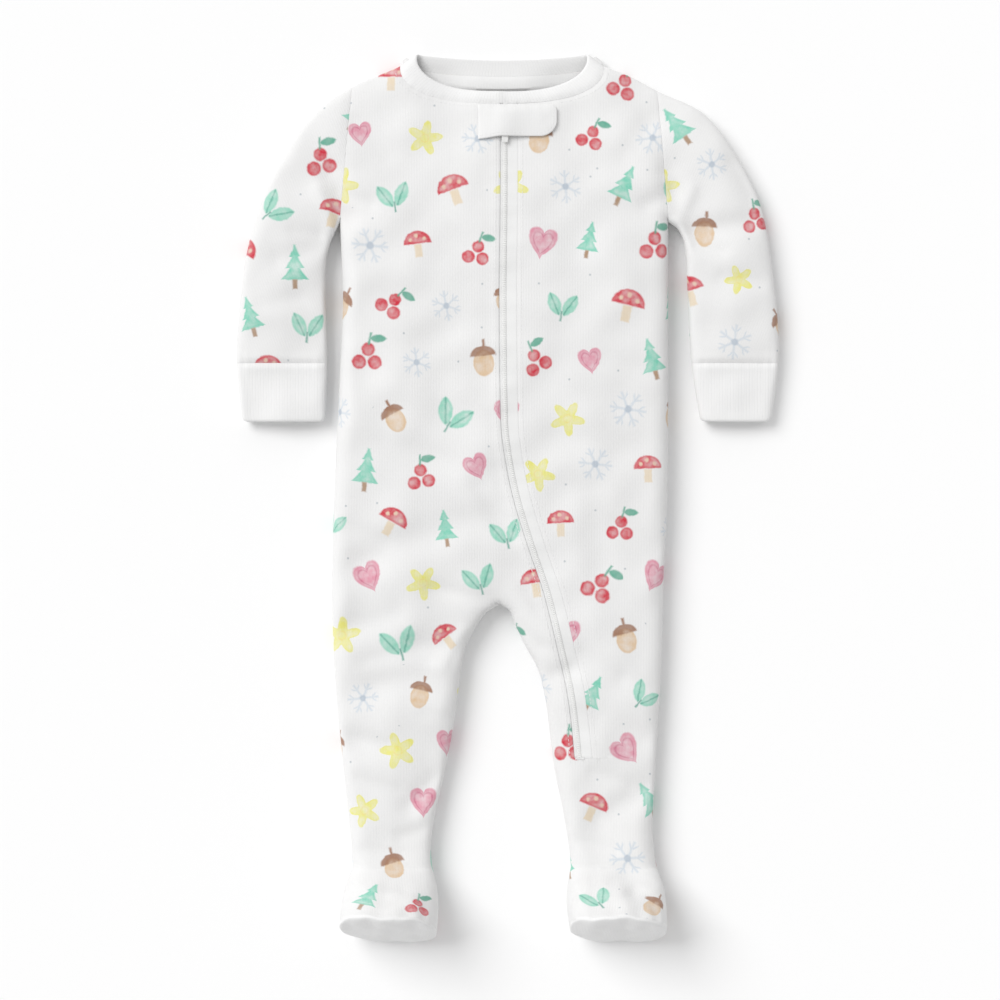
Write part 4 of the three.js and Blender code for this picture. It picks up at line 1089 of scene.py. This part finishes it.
def yokeGrid(top, bottom, startSide, endSide, upper, shoulders):
    # the chest above the armholes; the cloth turns down at each side that ends in a shoulder
    plan = planPatch(top, bottom, startSide, endSide)
    mask = np.zeros(plan.shape[:2], bool)
    if "start" in shoulders:
        mask[0, :grid["roundSteps"] + 1] = True
        mask[-1, 0] = True
    if "end" in shoulders:
        mask[0, -grid["roundSteps"] - 1:] = True
        mask[-1, -1] = True
    return clothGrid(plan, upper, mask)


# the front as sewn: right side, strip past the crotch, left side and both insteps, open along the zip
def frontOfGarment():
    def rightColumns(y):
        toZip = np.linspace(crotchGuideX(y), zipRightX(y), grid["zipStrip"] + 1)[1:]
        return np.concatenate([rightChestColumns(y), toZip])

    def stripColumns(y):
        start = float(readTable(leftInseamEdge, y))
        power = mix(1.0, 1.6, smoothStep(0, 16, body["crotchY"] - y))
        return mix(start, zipRightX(y), np.linspace(0, 1, grid["zipStrip"] + 1) ** power)

    def leftColumns(y):
        side = float(readTable(leftSideEdge, y))
        return columnsFromEdge(side, zipLeftX(y), float(layerHeight(side, y)), grid["leftChest"])[::-1]

    plan = planOfRows(rightColumns, torsoYs)
    torso = clothGrid(plan, True, crotchMask(plan, True, False))
    middle = crotchColumn // 2
    last = plan.shape[1] - 1
    shoulder = shoulderLine(rightOuterEdge, body["shoulderRightY"] + gap / 2)
    neckEdge = neckLine(0, neckTurnAt(zipRightX(zipTopY)), last - grid["roundSteps"], True)[1:]
    zipSide = np.column_stack([[zipRightX(y) for y in yokeZipYs], yokeZipYs])
    yoke = yokeGrid(np.vstack([shoulder, neckEdge]), plan[0],
                    straightLine(shoulder[0], plan[0, 0], yokeSteps()), zipSide, True, ["start"])
    rightLeg = legGrid(legEdges["right"], True,
                       (torso[0][-1, :crotchColumn + 1], torso[1][-1, :crotchColumn + 1]))
    stripPlan = planOfRows(stripColumns, legYs)
    strip = clothGrid(stripPlan, True, edgeMask(stripPlan, True, False))
    strip[0][0] = torso[0][-1, crotchColumn:]
    strip[1][0] = torso[1][-1, crotchColumn:]

    leftPlan = planOfRows(leftColumns, np.concatenate([torsoYs, legYs[1:]]))
    left = clothGrid(leftPlan, True, edgeMask(leftPlan, False, True))
    leftMiddle = grid["leftChest"] // 2
    shoulder = shoulderLine(leftOuterEdge, body["shoulderLeftY"] + gap / 2)[::-1]
    neckEdge = neckLine(neckTurnAt(zipLeftX(zipTopY)), 1, grid["leftChest"], True)[:-1]
    zipSide = np.column_stack([[zipLeftX(y) for y in yokeZipYs], yokeZipYs])
    leftYoke = yokeGrid(np.vstack([neckEdge, shoulder]), leftPlan[0], zipSide,
                        straightLine(shoulder[-1], leftPlan[0, -1], yokeSteps()), True, ["end"])

    rightAnkle = (rightLeg[0][-1], rightLeg[1][-1])
    leftAnkle = tuple(np.vstack([strip[i][-1], left[i][-1, 1:]]) for i in (0, 1))
    stripEnd = grid["zipStrip"]
    return meshFromGrids("frontPanels", [
        (*yoke, flatCoords(yoke[0], middle, last)), (*torso, flatCoords(torso[0], middle, last)),
        rightLeg, (*strip, flatCoords(strip[0], stripEnd, stripEnd)),
        (*leftYoke, flatCoords(leftYoke[0], 0, leftMiddle)), (*left, flatCoords(left[0], 0, leftMiddle)),
        footGrid("right", True, rightAnkle), footGrid("left", True, leftAnkle),
    ], jerseyPair, ["front_right", "front_left", "foot_upper_right", "foot_upper_left"])


# back in one piece, from the neck to the heels
def backPanel():
    def columnsAt(y):
        side = float(readTable(leftSideEdge, y))
        left = columnsFromEdge(side, crotchGuideX(y), float(layerHeight(side, y)), guideColumns)
        return np.concatenate([rightChestColumns(y), left[::-1][1:]])

    plan = planOfRows(columnsAt, torsoYs)
    torso = clothGrid(plan, False, crotchMask(plan, True, True))
    middle = crotchColumn // 2
    last = 2 * crotchColumn

    rightShoulder = shoulderLine(rightOuterEdge, body["shoulderRightY"] + gap / 2)
    leftShoulder = shoulderLine(leftOuterEdge, body["shoulderLeftY"] + gap / 2)
    neckEdge = neckLine(0, 1, last - 2 * grid["roundSteps"], False)[1:-1]
    top = np.vstack([rightShoulder, neckEdge, leftShoulder[::-1]])
    bottom = plan[0]
    rightArmhole = straightLine(top[0], bottom[0], yokeSteps())
    leftArmhole = straightLine(top[-1], bottom[-1], yokeSteps())
    yoke = yokeGrid(top, bottom, rightArmhole, leftArmhole, False, ["start", "end"])

    rightLeg = legGrid(legEdges["right"], False,
                       (torso[0][-1, :crotchColumn + 1], torso[1][-1, :crotchColumn + 1]))
    leftLeg = legGrid(legEdges["left"], False,
                      (torso[0][-1, crotchColumn:], torso[1][-1, crotchColumn:]))
    return meshFromGrids("backPanel", [
        (*yoke, flatCoords(yoke[0], middle, last - middle)),
        (*torso, flatCoords(torso[0], middle, last - middle)), rightLeg, leftLeg,
        footGrid("right", False, (rightLeg[0][-1], rightLeg[1][-1])),
        footGrid("left", False, (leftLeg[0][-1], leftLeg[1][-1])),
    ], jerseyPair, ["back"])


# tubes: a ring over the upper layer and back under the lower one
def ringOfCloth(start, end, height, wall):
    start = np.array(start)
    end = np.array(end)
    across = columnsAcross(0, 1, height / float(np.linalg.norm(end - start)), grid["legEven"])
    plan = start + across[:, None] * (end - start)
    onOutline = np.zeros(len(across), bool)
    onOutline[[0, -1]] = True
    upperOuter, upperInner = clothPoints(plan[:, 0], plan[:, 1], True, wall, onOutline)
    inside = plan[1:-1][::-1]
    lowerOuter, lowerInner = clothPoints(inside[:, 0], inside[:, 1], False, wall)
    outer = np.vstack([upperOuter, lowerOuter, upperOuter[:1]])
    inner = np.vstack([upperInner, lowerInner, upperInner[:1]])
    return outer, inner


def tubeGrid(ends, wall, turn=0.0, origin=(0.0, 0.0)):
    rings = [ringOfCloth(start, end, height, wall) for start, end, height in ends]
    outer = np.array([ring[0] for ring in rings])
    inner = np.array([ring[1] for ring in rings])
    return outer, inner, tubeCoords(outer, crotchColumn + 1, turn, origin)


def denseAtEnds(count, share=0.5):
    t = np.linspace(0, 1, count + 1)
    return mix(t, (1 - np.cos(t * math.pi)) / 2, share)


sleeveEdges = {
    "right": (rightOuterEdge, rightSleeveInnerEdge, body["shoulderRightY"]),
    "left": (leftOuterEdge, leftSleeveInnerEdge, body["shoulderLeftY"]),
}


sleeveCut = {
    "right": {"turn": math.radians(13), "origin": (-17.0, 12.0)},
    "left": {"turn": math.radians(-15), "origin": (21.0, -9.0)},
}


def sleeve(side):
    outerEdge, innerEdge, shoulderY = sleeveEdges[side]
    ends = []
    for t in denseAtEnds(grid["sleeveRows"]):
        outerY = mix(shoulderY - gap / 2, body["cuffSeamY"] + gap / 2, t)
        innerY = mix(body["underarmY"] - gap * 1.5, body["cuffSeamY"] + gap / 2, t)
        outer = (float(readTable(outerEdge, outerY)), outerY)
        inner = (float(readTable(innerEdge, innerY)), innerY)
        height = float(layerHeight(outer[0], outerY))
        ends.append((outer, inner, height) if side == "right" else (inner, outer, height))
    tube = tubeGrid(ends, body["clothWall"], sleeveCut[side]["turn"], sleeveCut[side]["origin"])
    return meshFromGrids(side + "Sleeve", [tube], jerseyPair, ["sleeve_" + side])


cuffRib = {"cornerRadius": 5.0}


def cuff(side):
    outerEdge, innerEdge, _ = sleeveEdges[side]
    ys = mix(body["cuffSeamY"] - gap / 2, body["cuffEndY"], denseAtEnds(grid["cuffRows"]))
    ends = []
    for y in ys:
        xs = sorted([float(readTable(outerEdge, y)), float(readTable(innerEdge, y))])
        ends.append(((xs[0], y), (xs[1], y), float(layerHeight(xs[0], y))))
    outer, inner, coords = tubeGrid(ends, body["ribWall"])
    for row, (y, (start, end, height)) in enumerate(zip(ys, ends)):
        # rounded corners at the turned-up end
        radius = cuffRib["cornerRadius"]
        into = max(0.0, radius - (y - body["cuffEndY"])) / radius
        inset = radius * 0.55 * (1 - math.sqrt(1 - into**2))
        centre = np.array([(start[0] + end[0]) / 2, y, height / 2])
        scale = np.array([1 - 2 * inset / (end[0] - start[0]), 1, 1 - 0.5 * inset / height])
        outer[row] = centre + (outer[row] - centre) * scale
        inner[row] = centre + (inner[row] - centre) * scale
    outer, inner = roundRim(outer, inner, (ys - body["cuffEndY"])[:, None], body["ribWall"] / 2)
    return meshFromGrids(side + "Cuff", [(outer, inner, coords)], [whiteRib, ribInsidePaintedShade],
                         ["cuff_" + side])


# rib band round the neck, doubled over at its free edge
bandShape = {"belly": 0.8, "width": 9.5}


def neckband():
    turns = np.linspace(0, 1, grid["bandSteps"] + 1)
    outerRows = []
    innerRows = []
    acrossRows = denseAtEnds(grid["bandRows"], 0.8)
    for across in acrossRows:
        x, y = neckPoint(turns, across, True)
        ends = np.zeros(len(turns), bool)
        ends[[0, -1]] = True
        upperOuter, upperInner = clothPoints(x, y, True, body["ribWall"], ends)
        belly = bandShape["belly"] * math.sin(across * math.pi)
        upperOuter[:, 2] += belly * np.sin(turns * math.pi) ** 0.5
        x, y = neckPoint(turns[1:-1][::-1], across, False)
        # the back of the band thins to the cloth it is sewn to
        seamWall = mix(body["ribWall"], body["clothWall"], float(smoothStep(0.3, 1.0, across)))
        lowerOuter, lowerInner = clothPoints(x, y, False, seamWall)
        outerRows.append(np.vstack([upperOuter, lowerOuter, upperOuter[:1]]))
        innerRows.append(np.vstack([upperInner, lowerInner, upperInner[:1]]))
    outer = np.array(outerRows)
    inner = np.array(innerRows)
    # ribs run across the band: along it is u, across it v
    around = np.linalg.norm(np.diff(outer[0], axis=0), axis=1)
    u = np.concatenate([[0], np.cumsum(around)])
    fromRim = bandShape["width"] * acrossRows
    coords = np.dstack(np.meshgrid(u, -fromRim))
    outer, inner = roundRim(outer, inner, fromRim[:, None], body["ribWall"] / 2)
    return meshFromGrids("neckBand", [(outer, inner, coords)], [whiteRib, ribInsidePaintedShade],
                         ["neckband"])


# the zip: two woven tapes and the coil between them
def zipStrip(name, offsets, rise, material, node, wall=body["clothWall"]):
    centre = readTable(zipLine, zipYs)
    plan = np.stack([centre[:, None] + offsets, np.repeat(zipYs[:, None], len(offsets), axis=1)], axis=2)
    outer, inner = clothGrid(plan, True, edgeMask(plan, False, False))
    outer[..., 2] += rise
    inner = outer - np.array([0, 0, wall])
    coords = np.dstack([plan[..., 0] - centre[:, None], plan[..., 1]])
    return meshFromGrids(name, [(outer, inner, coords)], [material], [node], tape["bevel"])


def sizeAt(size, x, y):
    # a lift or a wall may be one number or a rule over the cloth
    return size(x, y) if callable(size) else np.full(len(x), size)


def overlayGrid(plan, lift, wall):
    # a small piece lying on the upper layer, lifted clear of it
    rows, columns = plan.shape[:2]
    x = plan[..., 0].ravel()
    y = plan[..., 1].ravel()
    below, _ = clothPoints(x, y, True, body["clothWall"])
    inner = below + sizeAt(lift, x, y)[:, None] * np.array([0, 0, 1])
    outer = inner + sizeAt(wall, x, y)[:, None] * np.array([0, 0, 1])
    return outer.reshape(rows, columns, 3), inner.reshape(rows, columns, 3), plan


slider = {"y": 262.0, "width": 7.0, "length": 9.0, "height": 1.3, "clear": 0.3, "bevel": 0.6}
pull = {"y": 255.0, "width": 4.5, "length": 15.0, "height": 0.6, "clear": 0.6, "bevel": 0.3}
sliderTaper = 0.16
tab = {"leftX": -21.0, "rightX": 34.3, "lowY": 252.0, "highY": 274.8, "wall": 1.4, "clearance": 0.9,
       "lowCorner": 12.0, "highCorner": 5.0, "leftDrop": 2.0, "pillow": 0.45, "columns": 44, "rows": 28,
       "popperX": 28.5, "popperY": 264.5, "popperDent": 0.45, "popperRadius": 4.0,
       "swellWidth": 11.0, "swellClear": 0.3, "swellFrom": 1, "swellTo": 9,
       "dropLength": 18, "fullFrom": 6, "cornerSteps": 27}


def tabLift(x, y):
    # the tab rides over the slider and pull in one low swell
    beside = np.abs(x - readTable(zipLine, y))
    across = np.exp(-(beside / tab["swellWidth"]) ** 2)
    alongY = np.abs(y - slider["y"])
    halfLength = slider["length"] / 2
    along = 1 - smoothStep(halfLength + tab["swellFrom"], halfLength + tab["swellTo"], alongY)
    reach = np.where(y < slider["y"], 1.0, along)
    swell = (slider["height"] + pull["height"] + tab["swellClear"]) * across * reach
    return tab["clearance"] + swell - zipRelief(x, y)


def tabEdges(x):
    # lower and upper edge at each x; the free end is rounded, more below than above
    leftEnd = 1 - smoothStep(tab["leftX"], tab["leftX"] + tab["dropLength"], x)
    low = tab["lowY"] - tab["leftDrop"] * leftEnd
    pastLow = np.clip(1 - (tab["rightX"] - x) / tab["lowCorner"], 0, 1)
    pastHigh = np.clip(1 - (tab["rightX"] - x) / tab["highCorner"], 0, 1)
    low = low + tab["lowCorner"] * (1 - np.sqrt(1 - pastLow**2))
    high = tab["highY"] - tab["highCorner"] * (1 - np.sqrt(1 - pastHigh**2))
    return low, high


def tabFromRim(x, y):
    low, high = tabEdges(x)
    ends = np.minimum(tab["rightX"] - x, x - tab["leftX"])
    return np.minimum(np.minimum(y - low, high - y), ends)


def tabWall(x, y):
    # fuller in the middle, with the popper under it drawing in a small dent
    full = np.sqrt(np.clip(tabFromRim(x, y) / tab["fullFrom"], 0, 1))
    fromPopper = np.hypot(x - tab["popperX"], y - tab["popperY"])
    dent = tab["popperDent"] * np.exp(-(fromPopper / tab["popperRadius"]) ** 2)
    return tab["wall"] + tab["pillow"] * full - dent


def snapTab():
    cornerX = tab["rightX"] - tab["lowCorner"]
    straight = np.linspace(tab["leftX"], cornerX, tab["columns"] + 1)
    turn = np.linspace(0, math.pi / 2, tab["cornerSteps"])[1:]
    rounded = cornerX + tab["lowCorner"] * np.sin(turn)
    xs = np.concatenate([straight, rounded])
    low, high = tabEdges(xs)
    across = denseAtEnds(tab["rows"], 1.0)[:, None]
    plan = np.dstack([np.repeat(xs[None], tab["rows"] + 1, axis=0), mix(high, low, across)])
    outer, inner, coords = overlayGrid(plan, tabLift, tabWall)
    outer, inner = roundRim(outer, inner, tabFromRim(plan[..., 0], plan[..., 1]), tab["wall"] / 2)
    return meshFromGrids("snapTab", [(outer, inner, coords)], [plainJersey], ["snap_tab"])


def boxPlan(centreY, width, length, rows=12, columns=8):
    ys = centreY + np.linspace(length / 2, -length / 2, rows + 1)
    across = np.linspace(-width / 2, width / 2, columns + 1)
    taper = 1 - sliderTaper * np.abs(np.linspace(-1, 1, rows + 1)) ** 3
    xs = readTable(zipLine, ys)[:, None] + across * taper[:, None]
    return np.stack([xs, np.repeat(ys[:, None], columns + 1, axis=1)], axis=2)


def zipMetal(name, part, lift, node):
    plan = boxPlan(part["y"], part["width"], part["length"])
    return meshFromGrids(name, [overlayGrid(plan, lift, part["height"])], [zipEnamel],
                         [node], part["bevel"])


def sole(side):
    turns = np.linspace(0, 1, crotchColumn + 1)
    outerRows = []
    innerRows = []
    for t in np.linspace(0, 1, grid["soleRings"] + 1)[:-1] ** 2:
        inset = t * (foot["halfWidth"] - 2)
        bulge = foot["soleBulge"] * math.sqrt(1 - (1 - t) ** 2)
        upper = solePoints(side, turns, True, inset)
        lower = solePoints(side, turns[1:-1][::-1], False, inset)
        outer = np.vstack([upper, lower, upper[:1]])
        dentX, dentZ = outer[:, 0] * foot["dentScale"], outer[:, 2] * foot["dentScale"]
        dents = softWaves(dentX, dentZ + foot["dentOffset"]) * foot["soleDents"] * min(1, 3 * t)
        outer = outer + soleOut * (bulge + dents)[:, None]
        outerRows.append(outer)
        innerRows.append(outer - soleOut * body["soleWall"])
    centre = outerRows[-1].mean(axis=0)
    outerRows.append(np.repeat(centre[None], len(outerRows[0]), axis=0))
    innerRows.append(outerRows[-1] - soleOut * body["soleWall"])
    outer = np.array(outerRows)
    coords = np.dstack([outer[..., 0] - foot["centreX"][side], outer @ soleUp])
    return meshFromGrids(side + "Sole", [(outer, np.array(innerRows), coords)], [soleJersey],
                         ["sole_" + side])


garment = {
    "front": frontOfGarment(),
    "back": backPanel(),
    "rightSleeve": sleeve("right"),
    "leftSleeve": sleeve("left"),
    "rightCuff": cuff("right"),
    "leftCuff": cuff("left"),
    "neckBand": neckband(),
    "rightTape": zipStrip("rightZipTape", np.linspace(tape["rightEdge"], -gap, 5), -tape["rightSink"],
                          zipTapeCloth, "zip_tape_right"),
    "coil": zipStrip("zipCoilBed", np.linspace(-tape["coilHalf"], tape["coilHalf"], 7), tape["coilRise"],
                     zipNylon, "zip_coil", wall=0.5),
    "leftTape": zipStrip("leftZipTape", np.linspace(gap, tape["leftEdge"], 10), -tape["leftSink"],
                         zipTapeCloth, "zip_tape_left"),
    "tab": snapTab(),
    "slider": zipMetal("zipSlider", slider, tape["coilRise"] + slider["clear"], "zip_slider"),
    "pull": zipMetal("zipPull", pull, tape["coilRise"] + slider["height"] + pull["clear"], "zip_pull"),
    "rightSole": sole("right"),
    "leftSole": sole("left"),
}
print("cloth panels made:", len(garment))


# stitches and zip teeth: one small shape set at each step along a line, made by one node tree
def makeStitchTree():
    tree = bpy.data.node_groups.new("stitchesAlongLine", "GeometryNodeTree")
    tree.is_modifier = True
    tree.interface.new_socket(name="Line", in_out="INPUT", socket_type="NodeSocketGeometry")
    for label in ("Spacing", "Length", "Width", "Height"):
        tree.interface.new_socket(name=label, in_out="INPUT", socket_type="NodeSocketFloat")
    tree.interface.new_socket(name="Thread", in_out="INPUT", socket_type="NodeSocketMaterial")
    tree.interface.new_socket(name="Stitches", in_out="OUTPUT", socket_type="NodeSocketGeometry")
    ink = Ink(tree)
    start = ink.node("NodeGroupInput").outputs
    end = ink.node("NodeGroupOutput")

    bead = ink.node("GeometryNodeMeshUVSphere")
    bead.inputs["Segments"].default_value = 8
    bead.inputs["Rings"].default_value = 6
    bead.inputs["Radius"].default_value = 0.5
    size = ink.node("ShaderNodeCombineXYZ")
    for socket, label in zip(size.inputs, ("Length", "Width", "Height")):
        ink.plug(socket, start[label])
    shaped = ink.node("GeometryNodeTransform")
    ink.plug(shaped.inputs["Geometry"], bead.outputs["Mesh"])
    ink.plug(shaped.inputs["Scale"], size.outputs[0])

    line = ink.node("GeometryNodeMeshToCurve")
    ink.plug(line.inputs["Mesh"], start["Line"])
    steps = ink.node("GeometryNodeResampleCurve", mode="LENGTH")
    ink.plug(steps.inputs["Curve"], line.outputs["Curve"])
    ink.plug(steps.inputs["Length"], start["Spacing"])
    forward = ink.node("FunctionNodeAlignRotationToVector", axis="X")
    ink.plug(forward.inputs["Vector"], ink.node("GeometryNodeInputTangent").outputs[0])
    upright = ink.node("FunctionNodeAlignRotationToVector", axis="Z", pivot_axis="X")
    ink.plug(upright.inputs["Rotation"], forward.outputs[0])
    ink.plug(upright.inputs["Vector"], (0, 0, 1))
    uneven = ink.node("FunctionNodeRandomValue", data_type="FLOAT_VECTOR")
    uneven.inputs["Min"].default_value = (0.9, 0.92, 0.85)
    uneven.inputs["Max"].default_value = (1.08, 1.06, 1.1)
    uneven.inputs["Seed"].default_value = 4

    placed = ink.node("GeometryNodeInstanceOnPoints")
    ink.plug(placed.inputs["Points"], steps.outputs["Curve"])
    ink.plug(placed.inputs["Instance"], shaped.outputs[0])
    ink.plug(placed.inputs["Rotation"], upright.outputs[0])
    ink.plug(placed.inputs["Scale"], uneven.outputs[0])
    smooth = ink.node("GeometryNodeSetShadeSmooth")
    ink.plug(smooth.inputs[0], placed.outputs[0])
    real = ink.node("GeometryNodeRealizeInstances")
    ink.plug(real.inputs[0], smooth.outputs[0])
    painted = ink.node("GeometryNodeSetMaterial")
    ink.plug(painted.inputs["Geometry"], real.outputs[0])
    ink.plug(painted.inputs["Material"], start["Thread"])
    ink.plug(end.inputs[0], painted.outputs[0])
    return tree


stitchTree = makeStitchTree()


def sewAlong(name, lines, sizes, thread):
    # lines are points in mm; spacing, length, width and height are each stitch's, in mm
    mesh = bpy.data.meshes.new(name)
    points = np.concatenate(lines) * mm + np.array(shift)
    lengths = [len(line) for line in lines]
    ends = set(np.cumsum(lengths) - 1)
    edges = [(k, k + 1) for k in range(len(points) - 1) if k not in ends]
    mesh.from_pydata(points.tolist(), edges, [])
    piece = bpy.data.objects.new(name, mesh)
    bpy.context.collection.objects.link(piece)
    modifier = piece.modifiers.new("sewing", "NODES")
    modifier.node_group = stitchTree
    for item in stitchTree.interface.items_tree:
        if item.name.lower() in sizes:
            modifier[item.identifier] = sizes[item.name.lower()] * mm
        elif item.name == "Thread":
            modifier[item.identifier] = thread
    bakeModifiers(piece)
    finishPiece(piece)
    return piece


def onCloth(x, y, lift):
    points, _ = clothPoints(x, y, True, body["clothWall"])
    points[:, 2] += lift
    return points


def besideZip(offset, fromY, toY, lift):
    ys = np.linspace(fromY, toY, 300)
    return onCloth(readTable(zipLine, ys) + offset, ys, lift)


seamStitch = {"spacing": 2.9, "length": 2.3, "width": 0.42, "height": 0.3, "lift": 0.04,
              "rightOfZip": -6.4, "leftOfZip": 12.0, "zipTopY": 250, "pastZip": 2,
              "belowNeck": 1.27, "neckStart": 0.03, "neckEnd": 0.97, "besideTab": 1.5, "insideTab": 2.4}
barTack = {"spacing": 0.42, "length": 0.5, "width": 2.2, "height": 0.55, "lift": 0.1,
           "right": 2.6, "left": 3.4, "below": 0.2, "points": 20}
zipTooth = {"spacing": 1.3, "length": 0.85, "width": 2.6, "height": 0.8, "topY": 257, "shortOfEnd": 0.8}


def neckStitchLine(fromTurn, toTurn):
    x, y = neckPoint(np.linspace(fromTurn, toTurn, 90), seamStitch["belowNeck"], True)
    return onCloth(x, y, seamStitch["lift"])


def tabStitchLine():
    inset = seamStitch["insideTab"]
    radius = tab["lowCorner"] - inset
    cornerX = tab["rightX"] - tab["lowCorner"]
    straightX = np.linspace(tab["leftX"] + inset, cornerX, 60)
    turn = np.linspace(0, math.pi / 2, 24)[1:]
    x = np.concatenate([straightX, cornerX + radius * np.sin(turn), [tab["rightX"] - inset] * 6])
    lowY = tabEdges(straightX)[0] + inset
    upY = np.linspace(tab["lowY"] + tab["lowCorner"], tab["highY"] - tab["highCorner"], 7)[1:]
    y = np.concatenate([lowY, tab["lowY"] + tab["lowCorner"] - radius * np.cos(turn), upY])
    return onCloth(x, y, tabLift(x, y) + tabWall(x, y))


def barTackLine():
    endX = readTable(zipLine, body["zipEndY"])
    x = np.linspace(endX - barTack["right"], endX + barTack["left"], barTack["points"])
    return onCloth(x, np.full(len(x), body["zipEndY"] - barTack["below"]), barTack["lift"])


stitchEndY = body["zipEndY"] - seamStitch["pastZip"]
zipStitchLines = [besideZip(seamStitch[side], seamStitch["zipTopY"], stitchEndY, seamStitch["lift"])
                  for side in ("rightOfZip", "leftOfZip")]
neckStitchLines = [
    neckStitchLine(seamStitch["neckStart"], neckTurnAt(tab["leftX"] - seamStitch["besideTab"])),
    neckStitchLine(neckTurnAt(tab["rightX"] + seamStitch["besideTab"]), seamStitch["neckEnd"]),
]
toothLine = besideZip(0, zipTooth["topY"], body["zipEndY"] + zipTooth["shortOfEnd"], tape["coilRise"])
sewing = {
    "zip": sewAlong("zipStitches", zipStitchLines, seamStitch, sewingThread),
    "neck": sewAlong("neckStitches", neckStitchLines, seamStitch, sewingThread),
    "tab": sewAlong("tabStitches", [tabStitchLine()], seamStitch, sewingThread),
    "tack": sewAlong("zipBarTack", [barTackLine()], barTack, sewingThread),
    "teeth": sewAlong("zipTeeth", [toothLine], zipTooth, zipNylon),
}
print("stitches and teeth made:", len(sewing))


# light, floor and camera
studio = {
    "floorColor": (0.955, 0.955, 0.955), "worldStrength": 0.62,
    "keyStrength": 1.83, "keyTilt": 44.0, "keyTurn": 142.0, "keySoftness": 38.0, "floorDrop": 0.2,
    "cameraHeight": 2.0, "pictureWidth": 0.7, "lookX": -5.6, "lookY": -1.75, "focusZ": 12.0,
}


def makeFloor():
    mesh = bpy.data.meshes.new("floor")
    z = -studio["floorDrop"] * mm
    mesh.from_pydata([(-4, -4, z), (4, -4, z), (4, 4, z), (-4, 4, z)], [], [(0, 1, 2, 3)])
    floor = bpy.data.objects.new("floor", mesh)
    bpy.context.collection.objects.link(floor)
    material = bpy.data.materials.new("floorPaint")
    material.use_nodes = True
    shader = material.node_tree.nodes["Principled BSDF"]
    ink = Ink(material.node_tree)
    place = ink.node("ShaderNodeTexCoord")
    mottle = ink.noise(place.outputs["Object"], 9.0, 3.0)
    darker = tuple(value * 0.995 for value in studio["floorColor"])
    ink.plug(shader.inputs["Base Color"],
             ink.mixColor(mottle, (*studio["floorColor"], 1), (*darker, 1)))
    shader.inputs["Roughness"].default_value = 0.95
    mesh.materials.append(material)


def makeLight():
    world = bpy.data.worlds.new("studioAir")
    world.use_nodes = True
    world.node_tree.nodes["Background"].inputs["Color"].default_value = (1, 1, 1, 1)
    world.node_tree.nodes["Background"].inputs["Strength"].default_value = studio["worldStrength"]
    bpy.context.scene.world = world
    light = bpy.data.lights.new("windowLight", "SUN")
    light.energy = studio["keyStrength"]
    light.angle = math.radians(studio["keySoftness"])
    key = bpy.data.objects.new("windowLight", light)
    key.rotation_euler = (0, math.radians(studio["keyTilt"]), math.radians(studio["keyTurn"]))
    bpy.context.collection.objects.link(key)


def makeCamera():
    data = bpy.data.cameras.new("cameraAbove")
    data.sensor_width = 36
    distance = studio["cameraHeight"] - studio["focusZ"] * mm
    data.lens = 36 * distance / studio["pictureWidth"]
    camera = bpy.data.objects.new("cameraAbove", data)
    camera.location = (studio["lookX"] * mm + shift.x, studio["lookY"] * mm + shift.y,
                       studio["cameraHeight"])
    bpy.context.collection.objects.link(camera)
    bpy.context.scene.camera = camera


makeFloor()
makeLight()
makeCamera()
bpy.context.scene.view_settings.view_transform = "Standard"
